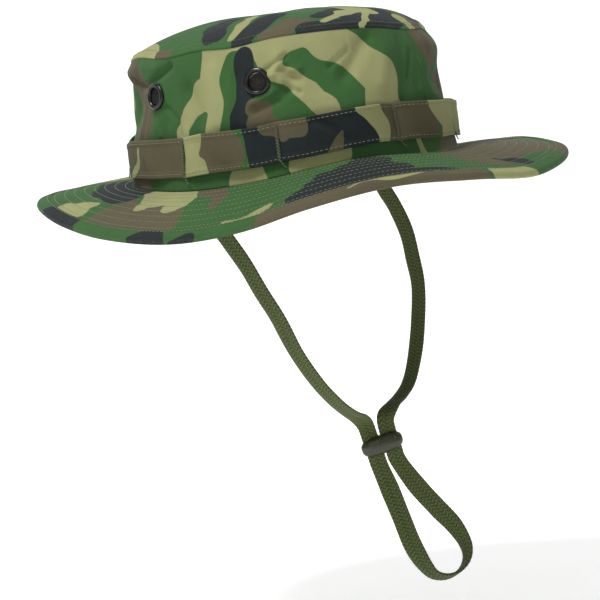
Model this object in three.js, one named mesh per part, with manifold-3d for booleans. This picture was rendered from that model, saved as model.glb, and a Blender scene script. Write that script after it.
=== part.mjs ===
// A boonie hat: a soft oval crown on a drooping brim, with a looped foliage band, four screened
// vents, and a flat chin cord that runs through a sliding keeper and hangs in a loop.
// Millimetres, +Z up. The origin is the centre of the head opening, at the crown and brim seam.
// The wearer faces -Y, so the wearer's right is -X. The hat is symmetric from left to right.
import * as THREE from 'three';
import { mergeVertices } from 'three/addons/utils/BufferGeometryUtils.js';
import Module from 'manifold-3d';

const wasm = await Module();
wasm.setup();

// Crown: an oval tube that tapers to a slightly domed top.
const OPENING_HALF_WIDTH = 83;
const OPENING_HALF_LENGTH = 100;
const TOP_HALF_WIDTH = 77;
const TOP_HALF_LENGTH = 90;
const CROWN_HEIGHT = 73;
const DOME_RISE = 12;
const CLOTH = 1.2; // crown cloth with its seam allowances
const GAP = 0.3; // between pieces that touch
const SEAM_DIP = 6; // how far the brim seam sinks at the ears
const TOP_DIP = 2; // how far the top seam sinks at the ears
const LIP_HEIGHT = 5; // of the top panel's folded edge, lapped over the side panels
const AROUND = 72; // facets round the hat

// Brim: three plies and a folded binding.
const BRIM_AT_EARS = 53; // how far it reaches out over the ears, seen from above
const BRIM_AT_FRONT = 57.5;
const BRIM_DROOP = 21; // how far its edge hangs below the seam at the ears
const BRIM_TILT = 6; // how far its edge sinks at the front and rises at the back
const BRIM_BOW = 2; // how far it arches up between seam and edge
const PLY = 0.8;
const INTERLINING = 0.6;
const BINDING_WIDTH = 6.5;

// Foliage band: a strip tacked down at nine places, which leaves nine loops.
const LOOPS = 9;
const BAND_BOTTOM = 7.5;
const BAND_TOP = 28.5;
const LOOP_STAND = 2.8; // how far a loop's middle stands off the crown

const SWEATBAND_TOP = 28;

// Vents: a domed rim through the wall, a perforated screen and a washer behind it.
const VENT_HEIGHT = 51;
const VENT_ANGLE = 22; // degrees to the front and back of each ear
const VENT_RADIUS = 8.25;
const VENT_BARREL = 5.6;
const VENT_BORE = 5;
const SCREEN_RADIUS = 4.7;

// Chin cord: a flat braid from ear to ear, through the keeper and down into a loop.
const CORD_WIDTH = 9.5;
const CORD_THICKNESS = 2.2;
const CORD_STEPS = 72;
const TAB = new THREE.Vector3(2.4, 10, 8); // thickness, width and height of each sewn end
const TAB_TOP = -10.2;
const TAB_X = 81;
const TAB_Y = 2;
const KEEPER = new THREE.Vector3(0, -34, -162);
const KEEPER_YAW = -40; // degrees, so that it lies across the two cords that enter it
const KEEPER_DOWN = new THREE.Vector3(0.12, -0.16, -0.98).normalize();
const SLOT_SPACING = 10.8;

// The cord's centreline, from the wearer's right ear, as [x, y, z] and the way its width points.
const CORD_ROUTE = [
  [[-81, 2, -18.8], [0, -1, 0]],
  [[-81, 1.6, -22.5], [0, -1, 0.1]],
  [[-80, -5.5, -34], [0, -0.9, 0.4]],
  [[-77, -14, -50], [0, -0.92, 0.35]],
  [[-73, -19, -65], [0, -0.95, 0.3]],
  [[-68, -24, -80], [0, -0.97, 0.25]],
  [[-59, -27, -101], [0, -1, 0.1]],
  [[-47, -30, -120], [0, -1, 0.1]],
  [[-35, -32, -133], [0.1, -1, 0]],
  [[-24, -32, -140.5], [0.3, -0.95, 0]],
  [[-12.5, -29.8, -145.5], [0.6, -0.8, 0.15]],
  [[-6.2, -28.5, -150], [0.74, -0.65, 0.19]],
  [[-4.8, -29.7, -157.7], [0.76, -0.62, 0.19]],
  [[-3.4, -31.5, -168.4], [0.76, -0.62, 0.19]],
  [[-2.9, -32.2, -172.8], [0.74, -0.65, 0.18]],
  [[-1.5, -36, -186], [0.65, -0.76, 0.1]],
  [[0, -41, -204], [0.6, -0.8, 0]],
  [[1.6, -45.2, -220], [0.5, -0.85, 0.2]],
  [[5.3, -49.2, -232.4], [-0.1, -0.9, 0.45]],
  [[8.7, -52.5, -238.5], [-0.5, -0.7, 0.5]],
  [[14.7, -57.1, -240.8], [-0.75, -0.55, 0.35]],
  [[20.7, -61.7, -238.5], [-0.8, -0.6, 0.1]],
  [[24.4, -64.8, -232.4], [-0.6, -0.8, -0.1]],
  [[24.9, -64.9, -224.7], [-0.2, -0.95, -0.1]],
  [[22.2, -60.9, -213.5], [0.3, -0.95, 0]],
  [[17, -54.3, -202], [0.6, -0.8, 0]],
  [[10.5, -46, -187], [0.68, -0.72, 0.1]],
  [[5.3, -39, -170.8], [0.74, -0.65, 0.18]],
  [[4.8, -38.3, -166.3], [0.76, -0.62, 0.19]],
  [[3.4, -36.5, -155.6], [0.76, -0.62, 0.19]],
  [[4.2, -35.4, -148], [0.74, -0.65, 0.19]],
  [[10.5, -35.6, -142.5], [0.5, -0.85, 0.15]],
  [[22, -34, -139], [0, -1, 0]],
  [[35, -32, -133], [-0.1, -1, 0]],
  [[47, -30, -120], [0, -1, 0.1]],
  [[59, -27, -101], [0, -1, 0.1]],
  [[68, -24, -80], [0, -0.97, 0.25]],
  [[73, -19, -65], [0, -0.95, 0.3]],
  [[77, -14, -50], [0, -0.92, 0.35]],
  [[80, -5.5, -34], [0, -0.9, 0.4]],
  [[81, 1.6, -22.5], [0, -1, 0.1]],
  [[81, 2, -18.8], [0, -1, 0]],
];

const GREEN = cloth(0x4b7a41);
const DARK_GREEN = cloth(0x2f522f);
const TAN = cloth(0xa3a070);
const BROWN = cloth(0x5d5142);
const OLIVE = cloth(0x505f32);
const GLOSS_BLACK = new THREE.MeshStandardMaterial({ color: 0x1c1e20, roughness: 0.3 });
const OLIVE_PLASTIC = new THREE.MeshStandardMaterial({ color: 0x323428, roughness: 0.35 });
const STEEL = new THREE.MeshStandardMaterial({ color: 0x2c2e30, roughness: 0.5, metalness: 0.8 });

function cloth(color) {
  return new THREE.MeshStandardMaterial({ color, roughness: 0.85, metalness: 0 });
}

// Every ring piece is turned on a lathe as a circle of radius 100 and then laid on the hat.
const LATHE_RADIUS = 100;
const BRIM_RADII = 60; // the brim's width on the lathe

// The number between a and b at fraction t.
function mix(a, b, t) {
  return a + (b - a) * t;
}

// A point on the crown: inside the lathe radius it scales with the oval, outside it stands off.
function onCrown(angle, radius, height, standOff = 0) {
  const t = height / CROWN_HEIGHT;
  const scale = Math.min(radius / LATHE_RADIUS, 1);
  const proud = Math.max(radius - LATHE_RADIUS, 0) + standOff;
  const dip = mix(SEAM_DIP, TOP_DIP, t) * Math.cos(angle) ** 2;
  return new THREE.Vector3(
    (mix(OPENING_HALF_WIDTH, TOP_HALF_WIDTH, t) * scale + proud) * Math.cos(angle),
    (mix(OPENING_HALF_LENGTH, TOP_HALF_LENGTH, t) * scale + proud) * Math.sin(angle),
    height - dip,
  );
}

// A point on the top panel, which keeps the oval of the top seam however high it domes.
function onTop(angle, radius, height) {
  const rise = height - CROWN_HEIGHT;
  const point = onCrown(angle, radius, Math.min(height, CROWN_HEIGHT));
  const dip = TOP_DIP * Math.cos(angle) ** 2 * (1 - Math.min(radius / LATHE_RADIUS, 1));
  point.z += Math.max(rise, 0) + dip;
  return point;
}

// A point on the foliage band, which stands off the crown between its tacks.
function onBand(angle, radius, height) {
  const tack = THREE.MathUtils.degToRad(90);
  const stand = LOOP_STAND * Math.abs(Math.sin((LOOPS / 2) * (angle - tack)));
  return onCrown(angle, radius, height, stand);
}

// A point on the brim, which droops at the ears and the front and rises a little at the back.
function onBrim(angle, radius, height) {
  const out = (radius - LATHE_RADIUS) / BRIM_RADII;
  const inBrim = Math.max(out, 0);
  const dip = (SEAM_DIP + BRIM_DROOP * inBrim) * Math.cos(angle) ** 2;
  const tilt = BRIM_TILT * inBrim * Math.sin(angle);
  const bow = BRIM_BOW * Math.sin(Math.PI * Math.min(inBrim, 1));
  return new THREE.Vector3(
    (OPENING_HALF_WIDTH + BRIM_AT_EARS * out) * Math.cos(angle),
    (OPENING_HALF_LENGTH + BRIM_AT_FRONT * out) * Math.sin(angle),
    height - dip + tilt + bow,
  );
}

// Turns a closed [radius, height] profile into a ring and moves each of its points by place.
function ring(profile, place) {
  const points = profile.map(([radius, height]) => new THREE.Vector2(radius, height));
  const onAxis = profile[0][0] === 0;
  if (!onAxis) {
    points.push(points[0].clone());
  }
  const geometry = new THREE.LatheGeometry(points, AROUND);
  // The lathe turns about Y, so its Y is the hat's height and its -Z the hat's Y.
  geometry.rotateX(Math.PI / 2);
  const position = geometry.attributes.position;
  for (let i = 0; i < position.count; i += 1) {
    const x = position.getX(i);
    const y = position.getY(i);
    const moved = place(Math.atan2(y, x), Math.hypot(x, y), position.getZ(i));
    position.setXYZ(i, moved.x, moved.y, moved.z);
  }
  return weld(geometry);
}

// The geometry with only its positions, and with shared points merged.
function weld(geometry) {
  geometry.deleteAttribute('normal');
  geometry.deleteAttribute('uv');
  return mergeVertices(geometry, 1e-4);
}

// A four-sided profile between two radii and two heights, with rows between bottom and top.
function wallProfile(inner, outer, bottom, top, rows = 1) {
  const profile = [];
  for (let i = 0; i <= rows; i += 1) {
    profile.push([outer, mix(bottom, top, i / rows)]);
  }
  for (let i = rows; i >= 0; i -= 1) {
    profile.push([inner, mix(bottom, top, i / rows)]);
  }
  return profile;
}

// A brim ply's profile between two heights, with enough rows to follow the brim's bow.
function plyProfile(bottom, top) {
  const radii = [99.2, 119, 139.5, LATHE_RADIUS + BRIM_RADII - 0.2];
  const under = radii.map((radius) => [radius, bottom]);
  const over = radii.map((radius) => [radius, top]).reverse();
  return [...under, ...over];
}

function toSolid(geometry) {
  const merged = weld(geometry);
  return new wasm.Manifold(new wasm.Mesh({
    numProp: 3,
    vertProperties: new Float32Array(merged.attributes.position.array),
    triVerts: new Uint32Array(merged.index.array),
  }));
}

function fromSolid(solid) {
  const mesh = solid.getMesh();
  const geometry = new THREE.BufferGeometry();
  geometry.setAttribute('position', new THREE.BufferAttribute(mesh.vertProperties, 3));
  geometry.setIndex(new THREE.BufferAttribute(mesh.triVerts, 1));
  geometry.computeVertexNormals();
  return geometry;
}

const hat = new THREE.Group();

function add(name, geometry, material, parent = hat) {
  const mesh = new THREE.Mesh(geometry, material);
  mesh.name = name;
  parent.add(mesh);
  return mesh;
}

// The four vents as name, angle round the crown, and frame with +Y pointing out of the wall.
function ventFrames() {
  const names = ['front_left', 'back_left', 'back_right', 'front_right'];
  const angles = [-VENT_ANGLE, VENT_ANGLE, 180 - VENT_ANGLE, 180 + VENT_ANGLE];
  return names.map((name, i) => {
    const angle = THREE.MathUtils.degToRad(angles[i]);
    const at = onCrown(angle, LATHE_RADIUS, VENT_HEIGHT);
    const along = onCrown(angle + 0.01, LATHE_RADIUS, VENT_HEIGHT).sub(at);
    const up = onCrown(angle, LATHE_RADIUS, VENT_HEIGHT + 1).sub(at);
    const out = along.cross(up).normalize();
    const turn = new THREE.Quaternion().setFromUnitVectors(new THREE.Vector3(0, 1, 0), out);
    return { name, at, turn };
  });
}

const vents = ventFrames();

// One side panel: half of the crown wall, with a hole for each vent's barrel.
function sidePanel(side) {
  const profile = wallProfile(LATHE_RADIUS - CLOTH, LATHE_RADIUS, GAP, CROWN_HEIGHT - GAP, 2);
  let solid = toSolid(ring(profile, onCrown));
  const half = new THREE.BoxGeometry(200, 400, 400).translate(side * (100 + GAP / 2), 0, 0);
  solid = solid.intersect(toSolid(half));
  for (const vent of vents) {
    const hole = new THREE.CylinderGeometry(VENT_BARREL + GAP, VENT_BARREL + GAP, 12, 20);
    hole.applyQuaternion(vent.turn).translate(vent.at.x, vent.at.y, vent.at.z);
    solid = solid.subtract(toSolid(hole));
  }
  return fromSolid(solid);
}

// The top panel: a flat dome whose edge folds down over the side panels.
function topPanel() {
  const lip = CROWN_HEIGHT - LIP_HEIGHT;
  const under = CROWN_HEIGHT + GAP;
  return ring([
    [0, under + DOME_RISE - CLOTH],
    [50, under + DOME_RISE * 0.9 - CLOTH],
    [82, under + DOME_RISE * 0.5 - CLOTH],
    [LATHE_RADIUS + GAP, under],
    [LATHE_RADIUS + GAP, lip],
    [LATHE_RADIUS + GAP + CLOTH, lip],
    [LATHE_RADIUS + GAP + CLOTH, CROWN_HEIGHT + CLOTH],
    [84, under + DOME_RISE * 0.52],
    [52, under + DOME_RISE * 0.92],
    [0, under + DOME_RISE],
  ], onTop);
}

function addCrown() {
  add('crown_top', topPanel(), DARK_GREEN);
  add('crown_side_left', sidePanel(1), GREEN);
  add('crown_side_right', sidePanel(-1), GREEN);
  const tape = wallProfile(97, 98.3, CROWN_HEIGHT - 6, CROWN_HEIGHT - GAP);
  add('crown_seam_tape', ring(tape, onCrown), OLIVE);
  const sweatband = wallProfile(96.4, 98, -3.8, SWEATBAND_TOP);
  add('sweatband', ring(sweatband, onCrown), OLIVE);
  const label = add('size_label', new THREE.BoxGeometry(24, 0.6, 16), TAN);
  label.position.set(0, OPENING_HALF_LENGTH - 8.2, 14);
  const band = wallProfile(LATHE_RADIUS + GAP, LATHE_RADIUS + GAP + CLOTH, BAND_BOTTOM, BAND_TOP);
  add('foliage_band', ring(band, onBand), BROWN);
}

function addBrim() {
  const middleTop = -PLY - GAP;
  const lowerTop = middleTop - INTERLINING - GAP;
  const bottom = lowerTop - PLY;
  add('brim_upper', ring(plyProfile(-PLY, 0), onBrim), GREEN);
  add('brim_interlining', ring(plyProfile(middleTop - INTERLINING, middleTop), onBrim), TAN);
  add('brim_lower', ring(plyProfile(bottom, lowerTop), onBrim), GREEN);
  const outer = LATHE_RADIUS + BRIM_RADII + 0.2;
  const inner = outer - BINDING_WIDTH;
  add('brim_binding', ring([
    [inner, bottom - GAP],
    [inner, bottom - GAP - PLY],
    [outer + PLY, bottom - GAP - PLY],
    [outer + PLY, GAP + PLY],
    [inner, GAP + PLY],
    [inner, GAP],
    [outer, GAP],
    [outer, bottom - GAP],
  ], onBrim), BROWN);
}

// Turns a [radius, height] profile about the vent's own axis, which is +Y.
function turned(profile) {
  const points = profile.map(([radius, height]) => new THREE.Vector2(radius, height));
  points.push(points[0].clone());
  return weld(new THREE.LatheGeometry(points, 20));
}

function ventRim() {
  return turned([
    [VENT_BORE, -3.4],
    [VENT_BARREL, -3.4],
    [VENT_BARREL, GAP],
    [VENT_RADIUS - 0.3, GAP],
    [VENT_RADIUS, 0.9],
    [VENT_RADIUS - 0.8, 1.8],
    [VENT_BORE + 1.2, 2],
    [VENT_BORE, 1.2],
  ]);
}

function ventWasher() {
  return turned([
    [VENT_BARREL + GAP, -2.8],
    [VENT_RADIUS - 0.2, -2.8],
    [VENT_RADIUS - 0.2, -2.05],
    [VENT_BARREL + GAP, -2.05],
  ]);
}

// A thin disc with one hole in the middle and a ring of holes round it.
function ventScreen() {
  const disc = new THREE.Shape().absarc(0, 0, SCREEN_RADIUS, 0, 2 * Math.PI, false);
  const holes = [[0, 0]];
  for (let i = 0; i < 6; i += 1) {
    const angle = (i * Math.PI) / 3;
    holes.push([2.9 * Math.cos(angle), 2.9 * Math.sin(angle)]);
  }
  for (const [x, y] of holes) {
    disc.holes.push(new THREE.Path().absarc(x, y, 0.9, 0, 2 * Math.PI, true));
  }
  const geometry = new THREE.ExtrudeGeometry(disc, {
    depth: 0.5, bevelEnabled: false, curveSegments: 5,
  });
  return geometry.rotateX(-Math.PI / 2);
}

function addVents() {
  for (const vent of vents) {
    const frame = new THREE.Group();
    frame.position.copy(vent.at);
    frame.quaternion.copy(vent.turn);
    hat.add(frame);
    add(`vent_rim_${vent.name}`, ventRim(), GLOSS_BLACK, frame);
    add(`vent_screen_${vent.name}`, ventScreen(), STEEL, frame);
    add(`vent_washer_${vent.name}`, ventWasher(), GLOSS_BLACK, frame);
  }
}

// A route whose cross-section keeps its width along the directions given with its points.
class FlatRoute extends THREE.CatmullRomCurve3 {
  constructor(stops) {
    super(stops.map(([at]) => new THREE.Vector3(...at)));
    this.widths = new THREE.CatmullRomCurve3(stops.map(([, width]) => new THREE.Vector3(...width)));
  }

  computeFrenetFrames(segments) {
    const frames = { tangents: [], normals: [], binormals: [] };
    for (let i = 0; i <= segments; i += 1) {
      const tangent = this.getTangentAt(i / segments);
      const width = this.widths.getPoint(this.getUtoTmapping(i / segments));
      const normal = width.addScaledVector(tangent, -width.dot(tangent)).normalize();
      frames.tangents.push(tangent);
      frames.normals.push(normal);
      frames.binormals.push(new THREE.Vector3().crossVectors(tangent, normal));
    }
    return frames;
  }
}

// The braid's section: a flat strip with blunted corners, eight-sided.
function cordSection() {
  const half = CORD_WIDTH / 2;
  const thick = CORD_THICKNESS / 2;
  const shape = new THREE.Shape();
  shape.moveTo(half, -thick / 2);
  shape.lineTo(half, thick / 2);
  shape.lineTo(half - 0.8, thick);
  shape.lineTo(-half + 0.8, thick);
  shape.lineTo(-half, thick / 2);
  shape.lineTo(-half, -thick / 2);
  shape.lineTo(-half + 0.8, -thick);
  shape.lineTo(half - 0.8, -thick);
  shape.closePath();
  return shape;
}

// A sewn end of the cord, with a rounded foot, hanging from the seam under the brim.
function cordTab() {
  const half = TAB.y / 2;
  const shape = new THREE.Shape();
  shape.moveTo(-half, 0);
  shape.lineTo(-half, -TAB.z + 2);
  shape.absarc(-half + 2, -TAB.z + 2, 2, Math.PI, 1.5 * Math.PI, false);
  shape.absarc(half - 2, -TAB.z + 2, 2, 1.5 * Math.PI, 2 * Math.PI, false);
  shape.lineTo(half, 0);
  shape.closePath();
  const geometry = new THREE.ExtrudeGeometry(shape, {
    depth: TAB.x, bevelEnabled: false, curveSegments: 3,
  });
  geometry.translate(0, 0, -TAB.x / 2);
  return geometry.rotateX(Math.PI / 2).rotateZ(Math.PI / 2);
}

function addChinCord() {
  const route = new FlatRoute(CORD_ROUTE);
  const cord = new THREE.ExtrudeGeometry(cordSection(), {
    steps: CORD_STEPS, extrudePath: route, bevelEnabled: false,
  });
  add('chin_cord', cord, OLIVE);
  for (const [name, side] of [['left', 1], ['right', -1]]) {
    const tab = add(`chin_cord_tab_${name}`, cordTab(), OLIVE);
    tab.position.set(side * TAB_X, TAB_Y, TAB_TOP);
  }
}

// The keeper: a rounded plastic barrel with two slots, one for each leg of the cord.
function keeperBody() {
  const outline = new THREE.Shape();
  outline.absarc(8.2, 0, 2.4, -Math.PI / 2, Math.PI / 2, false);
  outline.absarc(-8.2, 0, 2.4, Math.PI / 2, 1.5 * Math.PI, false);
  const body = new THREE.ExtrudeGeometry(outline, {
    depth: 6.6, bevelThickness: 2.1, bevelSize: 2, bevelSegments: 4, curveSegments: 8,
  });
  body.translate(0, 0, -3.3);
  let solid = toSolid(body);
  for (const side of [-1, 1]) {
    const slot = new THREE.BoxGeometry(CORD_WIDTH + 0.5, CORD_THICKNESS + 1, 20);
    slot.translate((side * SLOT_SPACING) / 2, 0, 0);
    solid = solid.subtract(toSolid(slot));
  }
  return fromSolid(solid);
}

function addKeeper() {
  const keeper = add('cord_keeper', keeperBody(), OLIVE_PLASTIC);
  const yaw = THREE.MathUtils.degToRad(KEEPER_YAW);
  const long = new THREE.Vector3(Math.cos(yaw), Math.sin(yaw), 0);
  long.addScaledVector(KEEPER_DOWN, -long.dot(KEEPER_DOWN)).normalize();
  const depth = new THREE.Vector3().crossVectors(KEEPER_DOWN, long);
  keeper.setRotationFromMatrix(new THREE.Matrix4().makeBasis(long, depth, KEEPER_DOWN));
  keeper.position.copy(KEEPER);
}

addCrown();
addBrim();
addVents();
addChinCord();
addKeeper();

export default hat;
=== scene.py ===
"""The looks of a boonie hat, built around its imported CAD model.

Shapes are worked out in millimetres on the hat's own surfaces and turned into metres when a
mesh is made. Angles go round the hat: 0 is the wearer's left ear, 90 the back, 180 the right
ear and 270 the front. Heights go up the crown from the brim seam, and a reach goes out across
the brim, from 0 at the seam to 1 at the edge.
"""
import math

import bmesh
import bpy
import numpy as np
from mathutils import Matrix, Vector


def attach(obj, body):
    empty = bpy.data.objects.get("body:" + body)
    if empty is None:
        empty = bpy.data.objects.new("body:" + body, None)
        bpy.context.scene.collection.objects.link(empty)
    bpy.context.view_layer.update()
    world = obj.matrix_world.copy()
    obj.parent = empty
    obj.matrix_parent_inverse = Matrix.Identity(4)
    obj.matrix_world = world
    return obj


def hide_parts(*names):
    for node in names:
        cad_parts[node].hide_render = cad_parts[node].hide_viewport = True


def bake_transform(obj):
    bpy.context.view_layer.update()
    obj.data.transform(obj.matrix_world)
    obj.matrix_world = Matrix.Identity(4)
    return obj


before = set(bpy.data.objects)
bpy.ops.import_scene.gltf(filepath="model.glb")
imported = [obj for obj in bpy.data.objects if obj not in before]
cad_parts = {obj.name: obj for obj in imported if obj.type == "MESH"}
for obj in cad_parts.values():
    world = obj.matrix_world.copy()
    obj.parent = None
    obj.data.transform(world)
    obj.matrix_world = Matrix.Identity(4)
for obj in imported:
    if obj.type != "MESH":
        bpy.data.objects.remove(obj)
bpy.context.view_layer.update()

MM = 0.001
rng = np.random.default_rng(11)


# ---------------------------------------------------------------- camera

# Fitted to the photo by a scratch script.
CAMERA_TARGET = Vector((-0.0063, 0.0059, -0.0774))
CAMERA_DISTANCE = 1.829
CAMERA_AZIMUTH = math.radians(-52.8)
CAMERA_ELEVATION = math.radians(4.42)
CAMERA_ROLL = math.radians(-7.2)
CAMERA_LENS = 194.4


def add_camera():
    back = Vector((
        math.sin(CAMERA_AZIMUTH) * math.cos(CAMERA_ELEVATION),
        -math.cos(CAMERA_AZIMUTH) * math.cos(CAMERA_ELEVATION),
        math.sin(CAMERA_ELEVATION),
    ))
    level = Vector((math.cos(CAMERA_AZIMUTH), math.sin(CAMERA_AZIMUTH), 0))
    right = Matrix.Rotation(CAMERA_ROLL, 3, back) @ level
    up = back.cross(right)
    data = bpy.data.cameras.new("camera")
    data.sensor_width = 36
    data.lens = CAMERA_LENS
    camera = bpy.data.objects.new("camera", data)
    turn = Matrix((right, up, back)).transposed().to_4x4()
    camera.matrix_world = Matrix.Translation(CAMERA_TARGET + back * CAMERA_DISTANCE) @ turn
    bpy.context.scene.collection.objects.link(camera)
    bpy.context.scene.camera = camera


# ---------------------------------------------------------------- meshes

def make_mesh(name, points, faces, layers=None):
    """A smooth mesh object from points in millimetres, with vector layers on its points."""
    mesh = bpy.data.meshes.new(name)
    mesh.from_pydata((np.asarray(points) * MM).tolist(), [], [list(f) for f in faces])
    for layer, values in (layers or {}).items():
        flat = np.ascontiguousarray(values, dtype=np.float32).ravel()
        mesh.attributes.new(layer, "FLOAT_VECTOR", "POINT").data.foreach_set("vector", flat)
    mesh.polygons.foreach_set("use_smooth", [True] * len(mesh.polygons))
    mesh.update()
    piece = bpy.data.objects.new(name, mesh)
    bpy.context.scene.collection.objects.link(piece)
    return piece


def grid_faces(rows, columns, closed):
    """Quads over a grid of points, as an array of four indices a face."""
    row = np.arange(rows - 1)[:, None]
    column = np.arange(columns if closed else columns - 1)[None, :]
    after = (column + 1) % columns
    corners = [row * columns + column, row * columns + after,
               (row + 1) * columns + after, (row + 1) * columns + column]
    return np.stack([c.ravel() for c in corners], axis=1)


def shell(name, outer, inner, closed, layers, keep=None):
    """A closed sheet between an outer and an inner grid of points.

    Rows go up or inward and columns round the hat, so that the outer faces look out. keep
    says which of the grid's faces to make, and every open border is joined across.
    """
    rows, columns = outer.shape[:2]
    count = rows * columns
    faces = grid_faces(rows, columns, closed)
    if keep is not None:
        faces = faces[keep(faces)]
    starts = faces.ravel()
    ends = np.roll(faces, -1, axis=1).ravel()
    open_edge = ~np.isin(starts * count + ends, ends * count + starts)
    a, b = starts[open_edge], ends[open_edge]
    border = np.stack([b, a, a + count, b + count], axis=1)
    faces = np.concatenate([faces, faces[:, ::-1] + count, border])
    points = np.concatenate([outer.reshape(-1, 3), inner.reshape(-1, 3)])
    doubled = {key: np.concatenate([v.reshape(-1, 3)] * 2) for key, v in layers.items()}
    piece = make_mesh(name, points, faces, doubled)
    clean(piece)
    return piece


def clean(piece):
    """Merges points that lie together and drops what no face uses."""
    work = bmesh.new()
    work.from_mesh(piece.data)
    bmesh.ops.remove_doubles(work, verts=work.verts, dist=1e-7)
    loose = [v for v in work.verts if not v.link_faces]
    bmesh.ops.delete(work, geom=loose, context="VERTS")
    work.to_mesh(piece.data)
    work.free()


def turned(name, profile, steps=64):
    """A closed [radius, height] profile turned about Z."""
    profile = np.asarray(profile, dtype=float)
    angle = np.linspace(0, 2 * np.pi, steps, endpoint=False)
    ring = np.stack([np.cos(angle), np.sin(angle)], axis=1)
    points = [[*(radius * unit), height] for radius, height in profile for unit in ring]
    count = len(profile)
    faces = [
        [i * steps + j, i * steps + (j + 1) % steps,
         (i + 1) % count * steps + (j + 1) % steps, (i + 1) % count * steps + j]
        for i in range(count) for j in range(steps)
    ]
    return make_mesh(name, points, faces)


def rounded(profile, passes=3):
    """A closed profile with its corners cut, which rounds them."""
    points = np.asarray(profile, dtype=float)
    for _ in range(passes):
        after = np.roll(points, -1, axis=0)
        points = np.stack([points * 0.78 + after * 0.22, points * 0.22 + after * 0.78], axis=1)
        points = points.reshape(-1, 2)
    return points


def place(piece, material, body="hat", nodes=()):
    """Gives a piece its material and its body, and hides the CAD nodes that it stands for."""
    piece.data.materials.append(material)
    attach(piece, body)
    if nodes:
        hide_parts(*nodes)
    return piece


# ---------------------------------------------------------------- the hat's surfaces

OPENING_HALF_WIDTH = 83
OPENING_HALF_LENGTH = 100
TOP_HALF_WIDTH = 77
TOP_HALF_LENGTH = 90
CROWN_HEIGHT = 73
DOME_RISE = 11
SEAM_DIP = 6
TOP_DIP = 2
BRIM_AT_EARS = 52.4
BRIM_AT_FRONT = 56.2
BRIM_BOW = 2
VENT_HEIGHT = 51
VENT_ANGLE = 22


def around(stops):
    """A smooth closed function of the angle through [degrees, value] stops."""
    degrees, values = np.array(stops, dtype=float).T
    angles = np.concatenate([degrees[-2:] - 360, degrees, degrees[:2] + 360])
    values = np.concatenate([values[-2:], values, values[:2]])
    slopes = np.gradient(values, angles)

    def value(angle):
        turn = np.mod(np.degrees(angle), 360)
        i = np.clip(np.searchsorted(angles, turn, side="right") - 1, 0, len(angles) - 2)
        width = angles[i + 1] - angles[i]
        t = (turn - angles[i]) / width
        return (
            values[i] * (1 + 2 * t) * (1 - t) ** 2 + values[i + 1] * (3 - 2 * t) * t ** 2
            + slopes[i] * width * t * (1 - t) ** 2 - slopes[i + 1] * width * t ** 2 * (1 - t)
        )

    return value


# How the worn hat's seams and edge wander from a level oval, in millimetres. On the side that
# the photo shows, these began as outline points picked by eye in the photo, which a scratch
# script turned into angles and heights through the fitted camera. They were then rounded,
# thinned and adjusted. The hidden side is guessed.
seam_wave = around([
    [0, 0], [90, 0], [150, -0.5], [178, -1], [200, 0.3], [216, 2.2], [228, 3], [240, 2],
    [251, 0], [265, -1.9], [285, -0.8], [330, 0],
])
top_wave = around([
    [0, 0], [60, -1], [90, -3], [114, -4], [130, -2.6], [142, -1], [166, -2.5], [180, -0.7],
    [194, -1.4], [208, 0.8], [227, 0.6], [250, -1.7], [268, -4.8], [290, -5.5], [304, -5.5],
    [325, -2],
])
brim_edge = around([
    [0, -8], [25, -12], [55, -9], [78, -2.8], [95, -3.2], [118, -3.6], [136, -7.4],
    [150, -14.2], [166, -22.4], [188, -27.8], [200, -25], [214, -17], [232, -11], [250, -13.2],
    [270, -17], [284, -14], [300, -10], [316, -7], [330, -4.2], [345, -5.4],
])
# How far the front of the crown leans back of the oval, by angle.
front_lean = around([
    [0, 0], [90, 0], [200, 0], [240, 0.6], [262, 2.6], [285, 4.6], [305, 4.2], [330, 1.5],
])


def segment_field(u, v, points):
    """How far inside a chain of round stops [u, v, radius] each point is, in its units."""
    best = np.full(np.shape(u), -1e9)
    stops = points if len(points) > 1 else [points[0], points[0]]
    for (u0, v0, r0), (u1, v1, r1) in zip(stops, stops[1:]):
        du, dv = u1 - u0, v1 - v0
        t = np.clip(((u - u0) * du + (v - v0) * dv) / max(du * du + dv * dv, 1e-9), 0, 1)
        gap = np.hypot(u - u0 - t * du, v - v0 - t * dv)
        best = np.maximum(best, r0 + (r1 - r0) * t - gap)
    return best


CROWN_SCALE = 1.7  # millimetres of crown a degree
FOLD_STRENGTH = 1.7

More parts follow.
